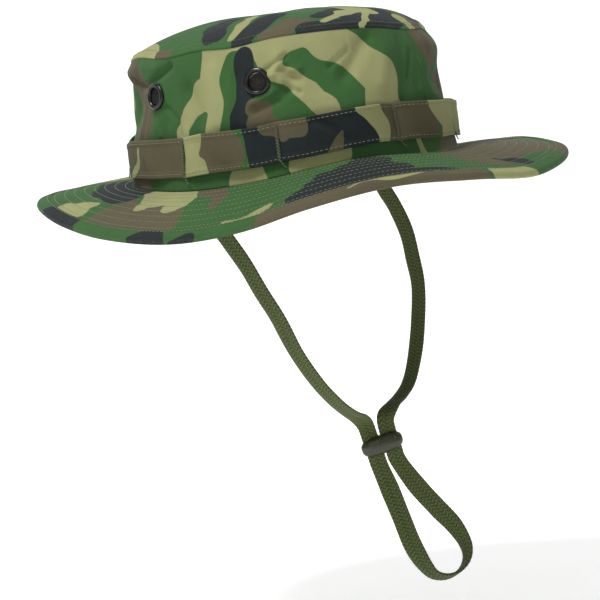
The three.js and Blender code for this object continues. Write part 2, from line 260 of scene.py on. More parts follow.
# Folds and dents in the crown: depth, width, and a line of [degrees, height] stops.
FOLDS = [
    (-3.4, 14, [[124, 42], [136, 44]]),
    (2.2, 7, [[128, 65], [138, 66]]),
    (-1.6, 2.2, [[132, 60], [141, 56.5], [149, 55], [156, 60], [166, 67]]),
    (0.9, 4, [[146, 66], [158, 68]]),
    (-1.1, 3.5, [[149, 55], [146, 42], [144, 28]]),
    (0.8, 5, [[158, 36], [161, 52]]),
    (-0.9, 4.5, [[176, 24], [178, 40], [174, 52]]),
    (0.7, 5, [[186, 34], [186, 60]]),
    (-0.8, 4, [[193, 30], [195, 56]]),
    (-1.8, 2.6, [[211, 54], [214, 50]]),
    (1.2, 3, [[207, 53], [210, 57], [211, 62]]),
    (0.9, 2.5, [[199, 40.5], [206, 43], [210, 49]]),
    (-0.9, 3, [[200, 37], [209, 40], [216, 48]]),
    (-1.2, 1.5, [[206, 56], [213, 61]]),
    (-1.1, 1.4, [[208, 47], [216, 41]]),
    (0.8, 1.8, [[208, 52], [217, 53]]),
    (-0.9, 1.6, [[163, 45], [168, 38], [169, 30]]),
    (-1.0, 1.6, [[150, 47], [147, 38]]),
    (0.7, 2.0, [[155, 38], [158, 30]]),
    (-0.8, 1.8, [[236, 60], [228, 52]]),
    (-0.9, 2.0, [[266, 58], [262, 44]]),
    (0.8, 2.4, [[271, 52], [268, 36]]),
    (-1.5, 5, [[246, 67], [240, 58], [233, 46]]),
    (1.0, 6, [[252, 58], [246, 40]]),
    (-0.9, 5, [[262, 64], [259, 46], [256, 32]]),
    (1.4, 6, [[277, 62], [276, 50]]),
    (-2.4, 9, [[286, 42], [300, 40]]),
    (1.6, 8, [[286, 61], [304, 61]]),
    (-1.2, 4, [[330, 66], [338, 48], [334, 30]]),
    (1.0, 6, [[350, 40], [352, 60]]),
    (-1.0, 4, [[12, 60], [20, 40], [16, 28]]),
    (-1.3, 5, [[48, 68], [56, 50], [50, 34]]),
    (1.1, 6, [[66, 40], [70, 58]]),
    (-1.2, 4, [[88, 64], [96, 50], [92, 32]]),
    (1.0, 6, [[108, 36], [112, 56]]),
    (-1.0, 4, [[120, 58], [117, 36]]),
]


def unrolled(angle, centre):
    """Degrees from a centre, as millimetres along the crown."""
    return (np.mod(np.degrees(angle) - centre + 180, 360) - 180) * CROWN_SCALE


def folds(angle, height):
    """How far the crown's cloth stands out of its plain oval."""
    total = 0.35 * np.sin(3 * angle + 0.05 * height) + 0.3 * np.sin(7 * angle - 0.09 * height)
    total = total + 0.2 * np.sin(13 * angle + 0.17 * height + 1)
    for depth, width, line in FOLDS:
        centre = line[0][0]
        stops = [[(a - centre) * CROWN_SCALE, h, 0] for a, h in line]
        gap = segment_field(unrolled(angle, centre), height, stops)
        total = total + depth * np.exp(-(gap / width) ** 2)
    # Sewn edges hold the cloth to the oval.
    hold = np.clip(height / 12, 0, 1) * np.clip((CROWN_HEIGHT + 2 - height) / 9, 0, 1)
    return FOLD_STRENGTH * total * hold


def seam_height(angle):
    return seam_wave(angle) - SEAM_DIP * np.cos(angle) ** 2


def top_height(angle):
    return CROWN_HEIGHT + top_wave(angle) - TOP_DIP * np.cos(angle) ** 2


def on_oval(angle, half_width, half_length, height):
    return np.stack(np.broadcast_arrays(
        half_width * np.cos(angle), half_length * np.sin(angle), height), axis=-1)


def on_crown(angle, height, stand=0.0, creased=True):
    """A point on the crown's side, standing off its cloth by stand."""
    t = height / CROWN_HEIGHT
    out = stand + (folds(angle, height) if creased else 0)
    seam = seam_height(angle)
    front = np.clip(-np.sin(angle), 0, 1) ** 2
    lean = front_lean(angle) + 4 * np.clip((t - 0.76) / 0.24, 0, 1) ** 2 * front
    return on_oval(
        angle,
        OPENING_HALF_WIDTH + (TOP_HALF_WIDTH - OPENING_HALF_WIDTH) * t + out - lean,
        OPENING_HALF_LENGTH + (TOP_HALF_LENGTH - OPENING_HALF_LENGTH) * t + out - lean,
        seam + (top_height(angle) - seam) * t,
    )


def on_top(angle, reach, stand=0.0):
    """A point on the top panel, where reach is 1 at its seam and 0 at its middle."""
    lean = (front_lean(angle) + 4 * np.clip(-np.sin(angle), 0, 1) ** 2) * reach ** 2
    sag = 0.5 * np.sin(3 * angle + 5 * reach) + 0.4 * np.sin(5 * angle - 7 * reach)
    height = (
        CROWN_HEIGHT + 0.4 + DOME_RISE * (1 - reach ** 3.5)
        + (top_height(angle) - CROWN_HEIGHT) * reach ** 3 + sag * reach * (1 - reach) * 4
    )
    return on_oval(angle, (TOP_HALF_WIDTH - lean) * reach, (TOP_HALF_LENGTH - lean) * reach,
                   height + stand)


def on_brim(angle, reach, stand=0.0):
    """A point on the brim's upper cloth, standing off it by stand."""
    seam = seam_height(angle)
    height = (
        seam + (brim_edge(angle) - seam) * reach
        + BRIM_BOW * np.sin(np.pi * np.clip(reach, 0, 1)) + stand
    )
    return on_oval(angle, OPENING_HALF_WIDTH + BRIM_AT_EARS * reach,
                   OPENING_HALF_LENGTH + BRIM_AT_FRONT * reach, height)


# ---------------------------------------------------------------- camouflage

# The strokes on the sides that the photo shows were chosen over a grid of degrees and heights
# drawn on the photo. Those on the far side of the crown, band and brim are scattered by
# blotches() and brim_blotches(), and those on the far side of the edge are guessed.
TAN, BROWN, BLACK, GREEN = 0, 1, 2, 3


def warped(u, v):
    """The same place, pushed about a little so that no blotch has a plain round edge."""
    du = 1.1 * np.sin(v / 4.3 + 1) + 0.8 * np.sin((u + v) / 7.1) + 0.4 * np.sin(u / 2.9 - v / 3.7)
    dv = 1.1 * np.sin(u / 5.1 + 2) + 0.8 * np.sin((u - v) / 6.3) + 0.4 * np.sin(u / 3.3 + v / 2.7)
    return u + du, v + dv


def paint(u, v, strokes):
    """Signed fields of tan, brown and black over green, in millimetres, above 0 inside."""
    u, v = warped(u, v)
    fields = np.full((*np.shape(u), 3), -50.0)
    for colour, stops in strokes:
        inside = segment_field(u, v, stops)
        for other in range(3):
            if other == colour:
                fields[..., other] = np.maximum(fields[..., other], inside)
            else:
                fields[..., other] = np.minimum(fields[..., other], -inside)
    return fields


def wander(colour, u, v, heading, length, radius):
    """A stroke that winds on from a point."""
    stops = []
    for _ in range(5):
        stops.append([u, v, radius * rng.uniform(0.7, 1.3)])
        u += math.cos(heading) * length / 4
        v += math.sin(heading) * length / 4
        heading += rng.uniform(-0.7, 0.7)
    return colour, stops


def blotches(low, high, bottom, top, count, size):
    """Strokes over a strip where none were chosen, from low to high and bottom to top."""
    strokes = []
    for i in range(count):
        colour = (BROWN, TAN, BLACK, GREEN)[i % 4]
        u = low + (high - low) * (i + rng.uniform(0.1, 0.9)) / count
        v = rng.uniform(bottom, top)
        heading = rng.uniform(0, 2 * np.pi)
        scale = (1.25, 0.85, 0.75, 0.7)[i % 4] * size
        strokes.append(wander(colour, u, v, heading, 4.2 * scale, scale))
    return strokes


def on_strip(strokes, scale):
    """Strokes given in [degrees, height, radius], as millimetres along a strip."""
    return [(c, [[a * scale, h, r] for a, h, r in stops]) for c, stops in strokes]


def degrees_from(angle, first):
    """An angle in degrees, from first up to a whole turn more."""
    degrees = np.mod(np.degrees(angle), 360)
    return np.where(degrees < first, degrees + 360, degrees)


def crown_camouflage(angle, height):
    return paint(degrees_from(angle, 114) * CROWN_SCALE, height, CROWN_STROKES)


CROWN_STROKES = blotches(305 * CROWN_SCALE, 474 * CROWN_SCALE, 8, 70, 22, 9.5) + on_strip([
    (BROWN, [[130, 70, 15], [134, 60, 16], [139, 48, 18], [143, 38, 17], [143, 28, 14],
             [141, 14, 12]]),
    (TAN, [[186, 75, 9], [186, 62, 7.2], [185.3, 54, 7.2], [181.5, 47, 8.5]]),
    (TAN, [[184, 51, 8], [178, 46, 7.5], [173.5, 41, 6], [171, 33, 5], [171, 18, 5.5]]),
    (TAN, [[184, 48, 8.5], [185, 40, 6.5], [184, 30, 5.5], [184, 18, 6]]),
    (TAN, [[184, 72, 5], [194, 72.5, 4], [201, 71, 5], [207, 67, 8], [210, 60, 11], [214, 66, 9]]),
    (TAN, [[208, 56, 6], [213, 48.5, 5], [217, 43.5, 6.5], [221.5, 37, 7.5], [225.5, 30, 7.5],
           [227, 22, 7]]),
    (TAN, [[210, 69, 8], [224, 68, 9], [234, 62, 10], [240, 54, 12], [247, 43, 13.5],
           [247.5, 30, 15.5]]),
    (GREEN, [[192.5, 63, 5.5], [192, 50, 5], [191, 40, 5], [189.5, 28, 5.5]]),
    (GREEN, [[205, 44, 5], [208, 39, 8], [212.5, 33, 6.5]]),
    (GREEN, [[215.5, 57, 4.5], [219, 56, 6.5], [224, 50.5, 7], [227.5, 44.5, 7.5],
             [231, 37, 5.5], [234, 28, 3.6]]),
    (BLACK, [[198, 61.5, 7.5], [197.8, 52, 6.6], [196, 43, 5], [194.5, 36, 6], [194, 28, 6]]),
    (BROWN, [[199, 38, 4.5], [202, 35, 6], [202, 28, 8], [208, 25, 5]]),
    (GREEN, [[262, 60, 14], [262, 36, 14], [275, 30, 12], [290, 34, 12]]),
    (BROWN, [[276, 74, 10], [281, 66, 14], [285, 58, 12], [289, 52, 8]]),
    (TAN, [[195, 0, 11], [195, 8, 8.5]]),
    (GREEN, [[205, 4, 6]]),
    (TAN, [[215, 3, 9], [222, 4, 9], [226, 5, 8.5]]),
    (GREEN, [[240, 4, 10], [252, 5, 8]]),
    (BROWN, [[134, 3, 10], [146, 2, 9]]),
    (TAN, [[258.5, 9, 2.4], [261.5, 0, 3.2]]),
    (BROWN, [[278, 3, 9], [290, 4, 9]]),
], CROWN_SCALE)


TOP_STROKES = [
    (TAN, [[-72, 40, 7], [-60, 54, 8], [-44, 70, 9], [-24, 84, 10], [-4, 92, 9]]),
    (BROWN, [[-76, 26, 6], [-72, 32, 4]]),
    (BLACK, [[-70, -6, 6], [-58, 1, 8.5], [-44, 6, 9], [-30, 11, 8]]),
    (TAN, [[-72, -18.5, 1.5], [-64, -17.5, 3], [-54, -15.5, 3.6], [-46, -13, 3.2], [-38, -8, 3.4]]),
    (BLACK, [[-72, -27, 6], [-60, -28, 8], [-46, -29, 9]]),
    (BROWN, [[-69, -40, 6], [-62, -47, 7], [-52, -47, 6], [-48, -52, 4]]),
    (BLACK, [[-54, -60, 7], [-46, -70, 9], [-34, -80, 9], [-20, -84, 9]]),
    (BLACK, [[-36, -54, 6], [-22, -54, 6], [-10, -52, 7]]),
    (BLACK, [[-28, -68, 8], [-10, -74, 11], [4, -70, 9], [8, -62, 6]]),
    (TAN, [[-44, -61.5, 2.4], [-34, -62, 2.5], [-24, -61.5, 4], [-14, -58, 5], [-2, -56, 4]]),
    (TAN, [[-31, -76, 1.2], [-22, -74.5, 2.6], [-13, -68, 2], [-3, -61, 2.4]]),
    (TAN, [[12, -84, 6], [11, -74, 5]]),
    (BLACK, [[8, 34, 9], [20, 48, 10], [31, 66, 9]]),
    (BLACK, [[52, 62, 10], [46, 46, 11], [38, 36, 8]]),
    (TAN, [[23, 38, 3.5], [31, 52, 5], [39, 63, 3], [46, 72, 3]]),
    (BROWN, [[66, 42, 6], [54, 32, 8], [42, 24, 5]]),
    (BLACK, [[68, 22, 10], [60, 8, 9], [52, 0, 8]]),
    (BLACK, [[72, -20, 8], [58, -27, 7]]),
    (TAN, [[61, 16, 2], [56, 2, 3], [53, -12, 4], [50, -22, 3]]),
    (TAN, [[68, -5, 1.5], [60, -14, 2.5], [50, -24, 3]]),
] + blotches(-14, 50, -34, 24, 7, 9) + blotches(22, 66, -80, -44, 4, 8)


BAND_SCALE = 1.75  # millimetres of band a degree
EDGE_SCALE = 2.6  # millimetres of binding a degree
BAND_STROKES = blotches(303 * BAND_SCALE, 472 * BAND_SCALE, 8, 28, 18, 9.5) + on_strip([
    (BROWN, [[118, 18, 16], [136, 18, 14], [150, 18, 14], [164, 18, 14], [180, 18, 14],
             [187, 18, 14]]),
    (TAN, [[149, 24, 1.2], [146.5, 19.5, 1.8], [142.5, 14, 2.2], [139, 9, 2.6]]),
    (TAN, [[177, 29.5, 7], [175.3, 21, 5.2], [175.2, 15, 6], [175.8, 10, 9], [176.3, 6, 11]]),
    (BLACK, [[203, 26, 12], [203, 18, 13], [204, 8, 13]]),
    (BLACK, [[214, 18, 13], [224, 18, 14], [231.5, 19, 12], [233, 10, 12]]),
    (BROWN, [[206, 30, 8], [209, 25.5, 8.5], [213, 27.5, 8]]),
    (BROWN, [[208, 22, 5], [208.2, 18, 2.6]]),
    (BROWN, [[227.6, 15.5, 1], [226.5, 11, 3.2], [225, 6, 5.5]]),
    (TAN, [[239, 29.5, 9.5], [241.5, 20, 6], [242.3, 14, 5], [243.2, 6, 4]]),
    (BROWN, [[250, 28, 11], [251, 18, 11], [252, 8, 13], [259, 22, 11], [261, 12, 12]]),
    (TAN, [[271, 30, 15], [280, 24, 18], [279, 14, 14], [277, 6, 13]]),
    (TAN, [[290, 26, 14], [296, 18, 12], [300, 12, 8]]),
], BAND_SCALE)


def band_camouflage(angle, height):
    return paint(degrees_from(angle, 112) * BAND_SCALE, height, BAND_STROKES)


def flat_brim(angle, reach):
    """The brim's cut shape, laid flat."""
    return ((OPENING_HALF_WIDTH + BRIM_AT_EARS * reach) * np.cos(angle),
            (OPENING_HALF_LENGTH + BRIM_AT_FRONT * reach) * np.sin(angle))


def on_flat_brim(strokes):
    """Strokes given in [degrees, reach, radius], as millimetres on the flat brim."""
    return [
        (colour, [[*flat_brim(math.radians(a), reach), r] for a, reach, r in stops])
        for colour, stops in strokes
    ]


def brim_blotches(count):
    strokes = []
    for i in range(count):
        colour = (BROWN, BLACK, TAN, GREEN)[i % 4]
        angle = math.radians(318 + 158 * (i + rng.uniform(0.2, 0.8)) / count)
        u, v = flat_brim(angle, rng.uniform(0.1, 0.9))
        scale = (13, 8.5, 7.5, 7)[i % 4]
        strokes.append(wander(colour, u, v, rng.uniform(0, 6.3), 4.2 * scale, scale))
    return strokes


BRIM_STROKES = brim_blotches(24) + on_flat_brim([
    (GREEN, [[112, 0.7, 16], [124, 0.72, 17], [136, 0.72, 16]]),
    (BLACK, [[118, 0.1, 13], [130, 0.16, 14], [142, 0.2, 15], [149, 0.24, 14.5]]),
    (BLACK, [[150, 0.08, 10], [152.5, 0.3, 9]]),
    (TAN, [[142, 0.84, 6], [146.5, 0.8, 9], [150.5, 0.83, 7]]),
    (TAN, [[145.5, 0.74, 7], [148.5, 0.68, 5], [149.2, 0.61, 2.5]]),
    (BROWN, [[161, 0.8, 11], [170, 0.78, 13], [178, 0.78, 12]]),
    (BROWN, [[159, 0.62, 9], [168, 0.6, 13], [176, 0.62, 13]]),
    (BROWN, [[159, 0.5, 7], [158.5, 0.4, 3.5]]),
    (TAN, [[160, 0.04, 9], [163, 0.14, 9.5], [165.5, 0.3, 8.5], [165.3, 0.42, 6]]),
    (TAN, [[172, 0.04, 9], [174, 0.2, 11], [175.8, 0.38, 7.5], [176, 0.48, 5]]),
    (TAN, [[168, 0.08, 11], [169.5, 0.26, 9]]),
    (BROWN, [[181, 0.05, 5], [184, 0.12, 7], [187.3, 0.2, 5], [188.6, 0.3, 4.3],
             [189.4, 0.42, 3.2], [190.2, 0.52, 1.6]]),
    (TAN, [[195.5, 0.88, 1.4], [200, 0.86, 2.5], [203.3, 0.83, 4], [205.3, 0.8, 3.4]]),
    (BLACK, [[212.5, 0.79, 8], [222, 0.79, 10], [233, 0.77, 10]]),
    (BLACK, [[216.5, 0.64, 9], [226, 0.62, 13], [235, 0.62, 11]]),
    (BLACK, [[220.5, 0.48, 8], [228, 0.47, 12], [233.5, 0.45, 9]]),
    (BLACK, [[226, 0.3, 7.5], [232, 0.3, 11], [235, 0.27, 8]]),
    (BLACK, [[229.5, 0.16, 5], [234, 0.15, 8]]),
    (BLACK, [[238, 0.84, 5], [249, 0.84, 2]]),
    (BROWN, [[264, 0.5, 13], [273, 0.42, 18], [285, 0.4, 20], [296, 0.35, 18]]),
    (BROWN, [[264, 0.26, 9], [270, 0.15, 10], [280, 0.12, 12]]),
    (BROWN, [[266, 0.7, 6], [284, 0.64, 8], [296, 0.66, 12]]),
    (BLACK, [[274, 0.9, 4.5], [273.5, 0.78, 5.5], [270.5, 0.66, 3.5], [269.3, 0.56, 1.6]]),
    (GREEN, [[281, 0.8, 6], [287, 0.9, 7]]),
])


EDGE_STROKES = on_strip([
    (BLACK, [[143.5, 0, 13], [151.5, 0, 13]]),
    (BLACK, [[176.8, 0, 8.5], [179.6, 0, 8.5]]),
    (BLACK, [[185.6, -2, 5.5], [188.6, 1, 5]]),
    (BROWN, [[209, 0, 16], [225, 0, 16], [240, 0, 16], [250, 0, 14]]),
    (TAN, [[223, 7, 0.6], [230, 7, 1.8], [237, 7.5, 1.6], [244, 8, 0.6]]),
    (TAN, [[261.5, 0, 14], [266, 0, 13]]),
    (BROWN, [[296, 0, 14], [306, 0, 14]]),
    (BLACK, [[330, 0, 14], [338, 0, 12]]),
    (TAN, [[356, 0, 10], [364, 0, 8]]),
    (BROWN, [[384, 0, 14], [400, 0, 14]]),
    (BLACK, [[424, 0, 12], [431, 0, 10]]),
    (TAN, [[449, 0, 8]]),
], EDGE_SCALE)


def edge_camouflage(angle, across):
    return paint(degrees_from(angle, 110) * EDGE_SCALE, across, EDGE_STROKES)


# ---------------------------------------------------------------- materials

def linear(red, green, blue):
    """A colour given in the 0 to 255 of a screen, as the shader's linear colour."""
    def channel(value):
        value /= 255
        return value / 12.92 if value <= 0.04045 else ((value + 0.055) / 1.055) ** 2.4
    return (channel(red), channel(green), channel(blue), 1)


class Shader:
    """A material's nodes, added by short calls."""

    def __init__(self, name):
        self.material = bpy.data.materials.new(name)
        self.material.use_nodes = True
        self.tree = self.material.node_tree
        self.surface = self.tree.nodes["Principled BSDF"]

    def link(self, value, socket):
        if isinstance(value, (int, float, tuple)):
            socket.default_value = value
        else:
            self.tree.links.new(value, socket)

    def attribute(self, name):
        node = self.tree.nodes.new("ShaderNodeAttribute")
        node.attribute_name = name
        return node.outputs["Vector"]

    def place(self):
        return self.tree.nodes.new("ShaderNodeTexCoord").outputs["Object"]

    def split(self, vector):
        node = self.tree.nodes.new("ShaderNodeSeparateXYZ")
        self.link(vector, node.inputs[0])
        return node.outputs

    def maths(self, operation, a, b=0.0):
        node = self.tree.nodes.new("ShaderNodeMath")
        node.operation = operation
        self.link(a, node.inputs[0])
        self.link(b, node.inputs[1])
        return node.outputs[0]

    def fade(self, value, low, high, to_low=0.0, to_high=1.0):
        node = self.tree.nodes.new("ShaderNodeMapRange")
        for i, v in enumerate((value, low, high, to_low, to_high)):
            self.link(v, node.inputs[i])
        return node.outputs[0]

    def mix(self, share, a, b, blend="MIX"):
        node = self.tree.nodes.new("ShaderNodeMix")
        node.data_type = "RGBA"
        node.blend_type = blend
        self.link(share, node.inputs[0])
        self.link(a, node.inputs[6])
        self.link(b, node.inputs[7])
        return node.outputs[2]

    def grey(self, value):
        node = self.tree.nodes.new("ShaderNodeCombineColor")
        for i in range(3):
            self.link(value, node.inputs[i])
        return node.outputs[0]

    def stretched(self, vector, *scale):
        node = self.tree.nodes.new("ShaderNodeMapping")
        self.link(vector, node.inputs["Vector"])
        node.inputs["Scale"].default_value = scale
        return node.outputs["Vector"]

    def noise(self, vector, scale, detail=3.0, roughness=0.5):
        node = self.tree.nodes.new("ShaderNodeTexNoise")
        self.link(vector, node.inputs["Vector"])
        node.inputs["Scale"].default_value = scale
        node.inputs["Detail"].default_value = detail
        node.inputs["Roughness"].default_value = roughness
        return node.outputs["Fac"]

    def threads(self, vector, pitch):
        """A plain weave over a vector in millimetres: 1 on a thread's crown, 0 between."""
        u, v, _ = self.split(vector)
        warp = self.maths("SINE", self.maths("MULTIPLY", u, 2 * math.pi / pitch))
        weft = self.maths("SINE", self.maths("MULTIPLY", v, 2 * math.pi / pitch))
        crossed = self.maths("MULTIPLY", warp, weft)
        return self.fade(crossed, -1, 1)

    def bump(self, height, distance, strength=1.0, under=None):
        node = self.tree.nodes.new("ShaderNodeBump")
        node.inputs["Distance"].default_value = distance
        node.inputs["Strength"].default_value = strength
        self.link(height, node.inputs["Height"])
        if under is not None:
            self.link(under, node.inputs["Normal"])
        return node.outputs["Normal"]

    def set(self, **values):
        for name, value in values.items():
            self.link(value, self.surface.inputs[name.replace("_", " ")])
        return self.material


CLOTH_GREEN = linear(54, 93, 47)
CLOTH_TAN = linear(148, 150, 103)
CLOTH_BROWN = linear(88, 82, 61)
CLOTH_BLACK = linear(29, 36, 38)


def camouflage_cloth():
    """Printed cotton: four colours over a weave, with painted shade between its threads, a little
    faded, with rubbed high edges.
    """
    shader = Shader("camouflage_cloth")
    tan, brown, black = shader.split(shader.attribute("camo"))
    cloth = shader.attribute("cloth")
    here = shader.place()
    bleed = shader.fade(shader.noise(cloth, 1.6, 2), 0, 1, -0.35, 0.35)
    colour = CLOTH_GREEN
    for field, ink in ((tan, CLOTH_TAN), (brown, CLOTH_BROWN), (black, CLOTH_BLACK)):
        edge = shader.fade(shader.maths("ADD", field, bleed), -0.18, 0.18)
        colour = shader.mix(edge, colour, ink)
    faded = shader.fade(shader.noise(here, 22, 4), 0.3, 0.75, 0.9, 1.12)
    slub = shader.fade(shader.noise(cloth, 3.2, 4, 0.7), 0.25, 0.8, 0.9, 1.08)
    weave = shader.threads(cloth, 0.62)
    # Painted shade: the colour darkens between the weave's threads, down to 0.86 of the print.
    thread = shader.fade(weave, 0, 1, 0.86, 1.06)
    tone = shader.maths("MULTIPLY", shader.maths("MULTIPLY", faded, slub), thread)
    colour = shader.mix(1.0, colour, shader.grey(tone), "MULTIPLY")
    rubbed = shader.split(cloth)[2]
    lint = shader.maths("MULTIPLY", rubbed, shader.fade(shader.noise(cloth, 0.9, 4), 0.4, 0.7))
    colour = shader.mix(shader.maths("MULTIPLY", lint, 0.14), colour, linear(150, 150, 118))
    creases = shader.noise(shader.stretched(here, 1.0, 1.0, 0.45), 46, 3, 0.55)
    normal = shader.bump(creases, 0.005, 0.5)
    normal = shader.bump(shader.noise(here, 260, 3), 0.0006, 0.35, normal)
    normal = shader.bump(weave, 0.00012, 0.8, normal)
    return shader.set(Base_Color=colour, Roughness=0.85, Specular_IOR_Level=0.25,
                      Sheen_Weight=0.02, Normal=normal)


def woven(name, colour, dark, pitch, roughness=0.9):
    """Plain woven cloth or tape in two near shades, over the cloth's own millimetres; the darker
    shade is painted shade between the threads.
    """
    shader = Shader(name)
    cloth = shader.attribute("cloth")
    weave = shader.threads(cloth, pitch)
    # Painted shade: the colour fades to dark between the threads.
    shade = shader.mix(shader.fade(weave, 0.15, 0.8), dark, colour)
    patch = shader.fade(shader.noise(shader.place(), 40, 4), 0.3, 0.7, 0.86, 1.1)
    shade = shader.mix(1.0, shade, shader.grey(patch), "MULTIPLY")
    normal = shader.bump(weave, 0.00025, 0.9)
    return shader.set(Base_Color=shade, Roughness=roughness, Sheen_Weight=0.15,
                      Normal=normal)


def braid():
    """Braided cord: olive yarn, with painted shade that makes it darker and duller down between its
    strands.
    """
    shader = Shader("olive_braid")
    cord = shader.attribute("cloth")
    relief = shader.split(cord)[2]
    yarn = shader.noise(cord, 2.6, 5, 0.75)
    high = shader.mix(shader.fade(yarn, 0.3, 0.7), linear(62, 76, 32), linear(98, 112, 54))
    # Painted shade: where the relief is low, between the strands, the colour goes to near black.
    colour = shader.mix(shader.fade(relief, 0.1, 0.75), linear(14, 19, 7), high)
    fibre = shader.bump(shader.noise(cord, 9, 4, 0.8), 0.0003, 0.7)
    return shader.set(Base_Color=colour, Roughness=0.82, Sheen_Weight=0.03, Normal=fibre)


def thread(name, colour):
    """Sewing thread: a mottled tone and a little fuzz."""
    shader = Shader(name)
    here = shader.place()
    tone = shader.fade(shader.noise(here, 900, 3), 0.3, 0.7, 0.75, 1.2)
    shade = shader.mix(1.0, colour, shader.grey(tone), "MULTIPLY")
    normal = shader.bump(shader.noise(here, 2600, 2), 0.0001, 0.5)
    return shader.set(Base_Color=shade, Roughness=0.7, Sheen_Weight=0.2, Normal=normal)


def enamel(name, colour, roughness, scuff):
    """Gloss enamel or plastic with faint orange peel, and scuffs that take the shine off."""
    shader = Shader(name)
    here = shader.place()
    wear = shader.fade(shader.noise(here, 420, 6, 0.7), 0.52, 0.78)
    shade = shader.mix(shader.maths("MULTIPLY", wear, scuff), colour, linear(120, 122, 116))
    rough = shader.fade(wear, 0, 1, roughness, roughness + 0.25)
    normal = shader.bump(shader.noise(here, 700, 2), 0.00012, 0.25)
    return shader.set(Base_Color=shade, Roughness=rough, Coat_Weight=0.2,
                      Coat_Roughness=0.12, Specular_IOR_Level=0.35, Normal=normal)


MATERIALS = {
    "cloth": camouflage_cloth(),
    # The darker colour of each woven material is painted shade between its threads.
    "tape": woven("olive_tape", linear(84, 96, 58), linear(48, 56, 34), 0.9),
    "label": woven("label_cloth", linear(178, 172, 138), linear(140, 134, 102), 0.5),
    "canvas": woven("interlining_canvas", linear(186, 180, 160), linear(140, 134, 112), 1.1),
    "braid": braid(),
    "thread": thread("olive_thread", linear(112, 121, 88)),
    "dark_thread": thread("dark_thread", linear(72, 78, 46)),
    "keeper": enamel("keeper_plastic", linear(50, 54, 34), 0.2, 0.06),
    "vent": enamel("vent_enamel", linear(9, 10, 11), 0.3, 0.03),
    "screen": enamel("vent_screen_enamel", linear(9, 10, 11), 0.5, 0.04),
}


# ---------------------------------------------------------------- chin cord

CORD_WIDTH = 9.9
CORD_THICKNESS = 2.2
BRAID_COLUMNS = 6
BRAID_PITCH = 2.3
LOOP_TOP = -175  # where the braid starts to spread, below the keeper
# The centreline from the wearer's right ear, in metres, with the way that its width points. The
# near leg and the loop began as points picked by eye in the photo, placed by a scratch script
# through the fitted camera, then rounded and moved by hand. The far leg mirrors the near one.
CORD_ROUTE = [
    [[-0.081, 0.002, -0.0188], [0, -1, 0]],
    [[-0.081, 0.0016, -0.0225], [0, -1, 0.1]],
    [[-0.08, -0.0055, -0.034], [0, -0.9, 0.4]],
    [[-0.077, -0.014, -0.05], [0, -0.92, 0.35]],
    [[-0.073, -0.019, -0.065], [0, -0.95, 0.3]],
    [[-0.068, -0.024, -0.08], [0, -0.97, 0.25]],
    [[-0.059, -0.027, -0.101], [0, -1, 0.1]],
    [[-0.047, -0.03, -0.12], [0, -1, 0.1]],
    [[-0.035, -0.032, -0.133], [0.1, -1, 0]],
    [[-0.024, -0.032, -0.1405], [0.3, -0.95, 0]],
    [[-0.0125, -0.0298, -0.1455], [0.6, -0.8, 0.15]],
    [[-0.0062, -0.0285, -0.15], [0.74, -0.65, 0.19]],
    [[-0.0048, -0.0297, -0.1577], [0.76, -0.62, 0.19]],
    [[-0.0034, -0.0315, -0.1684], [0.76, -0.62, 0.19]],
    [[-0.0029, -0.0322, -0.1728], [0.74, -0.65, 0.18]],
    [[-0.0015, -0.036, -0.186], [0.65, -0.76, 0.1]],
    [[0, -0.041, -0.204], [0.6, -0.8, 0]],
    [[0.0016, -0.0452, -0.22], [0.5, -0.85, 0.2]],
    [[0.0053, -0.0492, -0.2324], [-0.1, -0.9, 0.45]],
    [[0.0087, -0.0525, -0.2385], [-0.5, -0.7, 0.5]],
    [[0.0147, -0.0571, -0.2408], [-0.75, -0.55, 0.35]],
    [[0.0207, -0.0617, -0.2385], [-0.8, -0.6, 0.1]],
    [[0.0244, -0.0648, -0.2324], [-0.6, -0.8, -0.1]],
    [[0.0249, -0.0649, -0.2247], [-0.2, -0.95, -0.1]],
    [[0.0222, -0.0609, -0.2135], [0.3, -0.95, 0]],
    [[0.017, -0.0543, -0.202], [0.6, -0.8, 0]],
    [[0.0105, -0.046, -0.187], [0.68, -0.72, 0.1]],
    [[0.0053, -0.039, -0.1708], [0.74, -0.65, 0.18]],
    [[0.0048, -0.0383, -0.1663], [0.76, -0.62, 0.19]],
    [[0.0034, -0.0365, -0.1556], [0.76, -0.62, 0.19]],
    [[0.0042, -0.0354, -0.148], [0.74, -0.65, 0.19]],
    [[0.0105, -0.0356, -0.1425], [0.5, -0.85, 0.15]],
    [[0.022, -0.034, -0.139], [0, -1, 0]],
    [[0.035, -0.032, -0.133], [-0.1, -1, 0]],
    [[0.047, -0.03, -0.12], [0, -1, 0.1]],
    [[0.059, -0.027, -0.101], [0, -1, 0.1]],
    [[0.068, -0.024, -0.08], [0, -0.97, 0.25]],
    [[0.073, -0.019, -0.065], [0, -0.95, 0.3]],
    [[0.077, -0.014, -0.05], [0, -0.92, 0.35]],
    [[0.08, -0.0055, -0.034], [0, -0.9, 0.4]],
    [[0.081, 0.0016, -0.0225], [0, -1, 0.1]],
    [[0.081, 0.002, -0.0188], [0, -1, 0]],
]


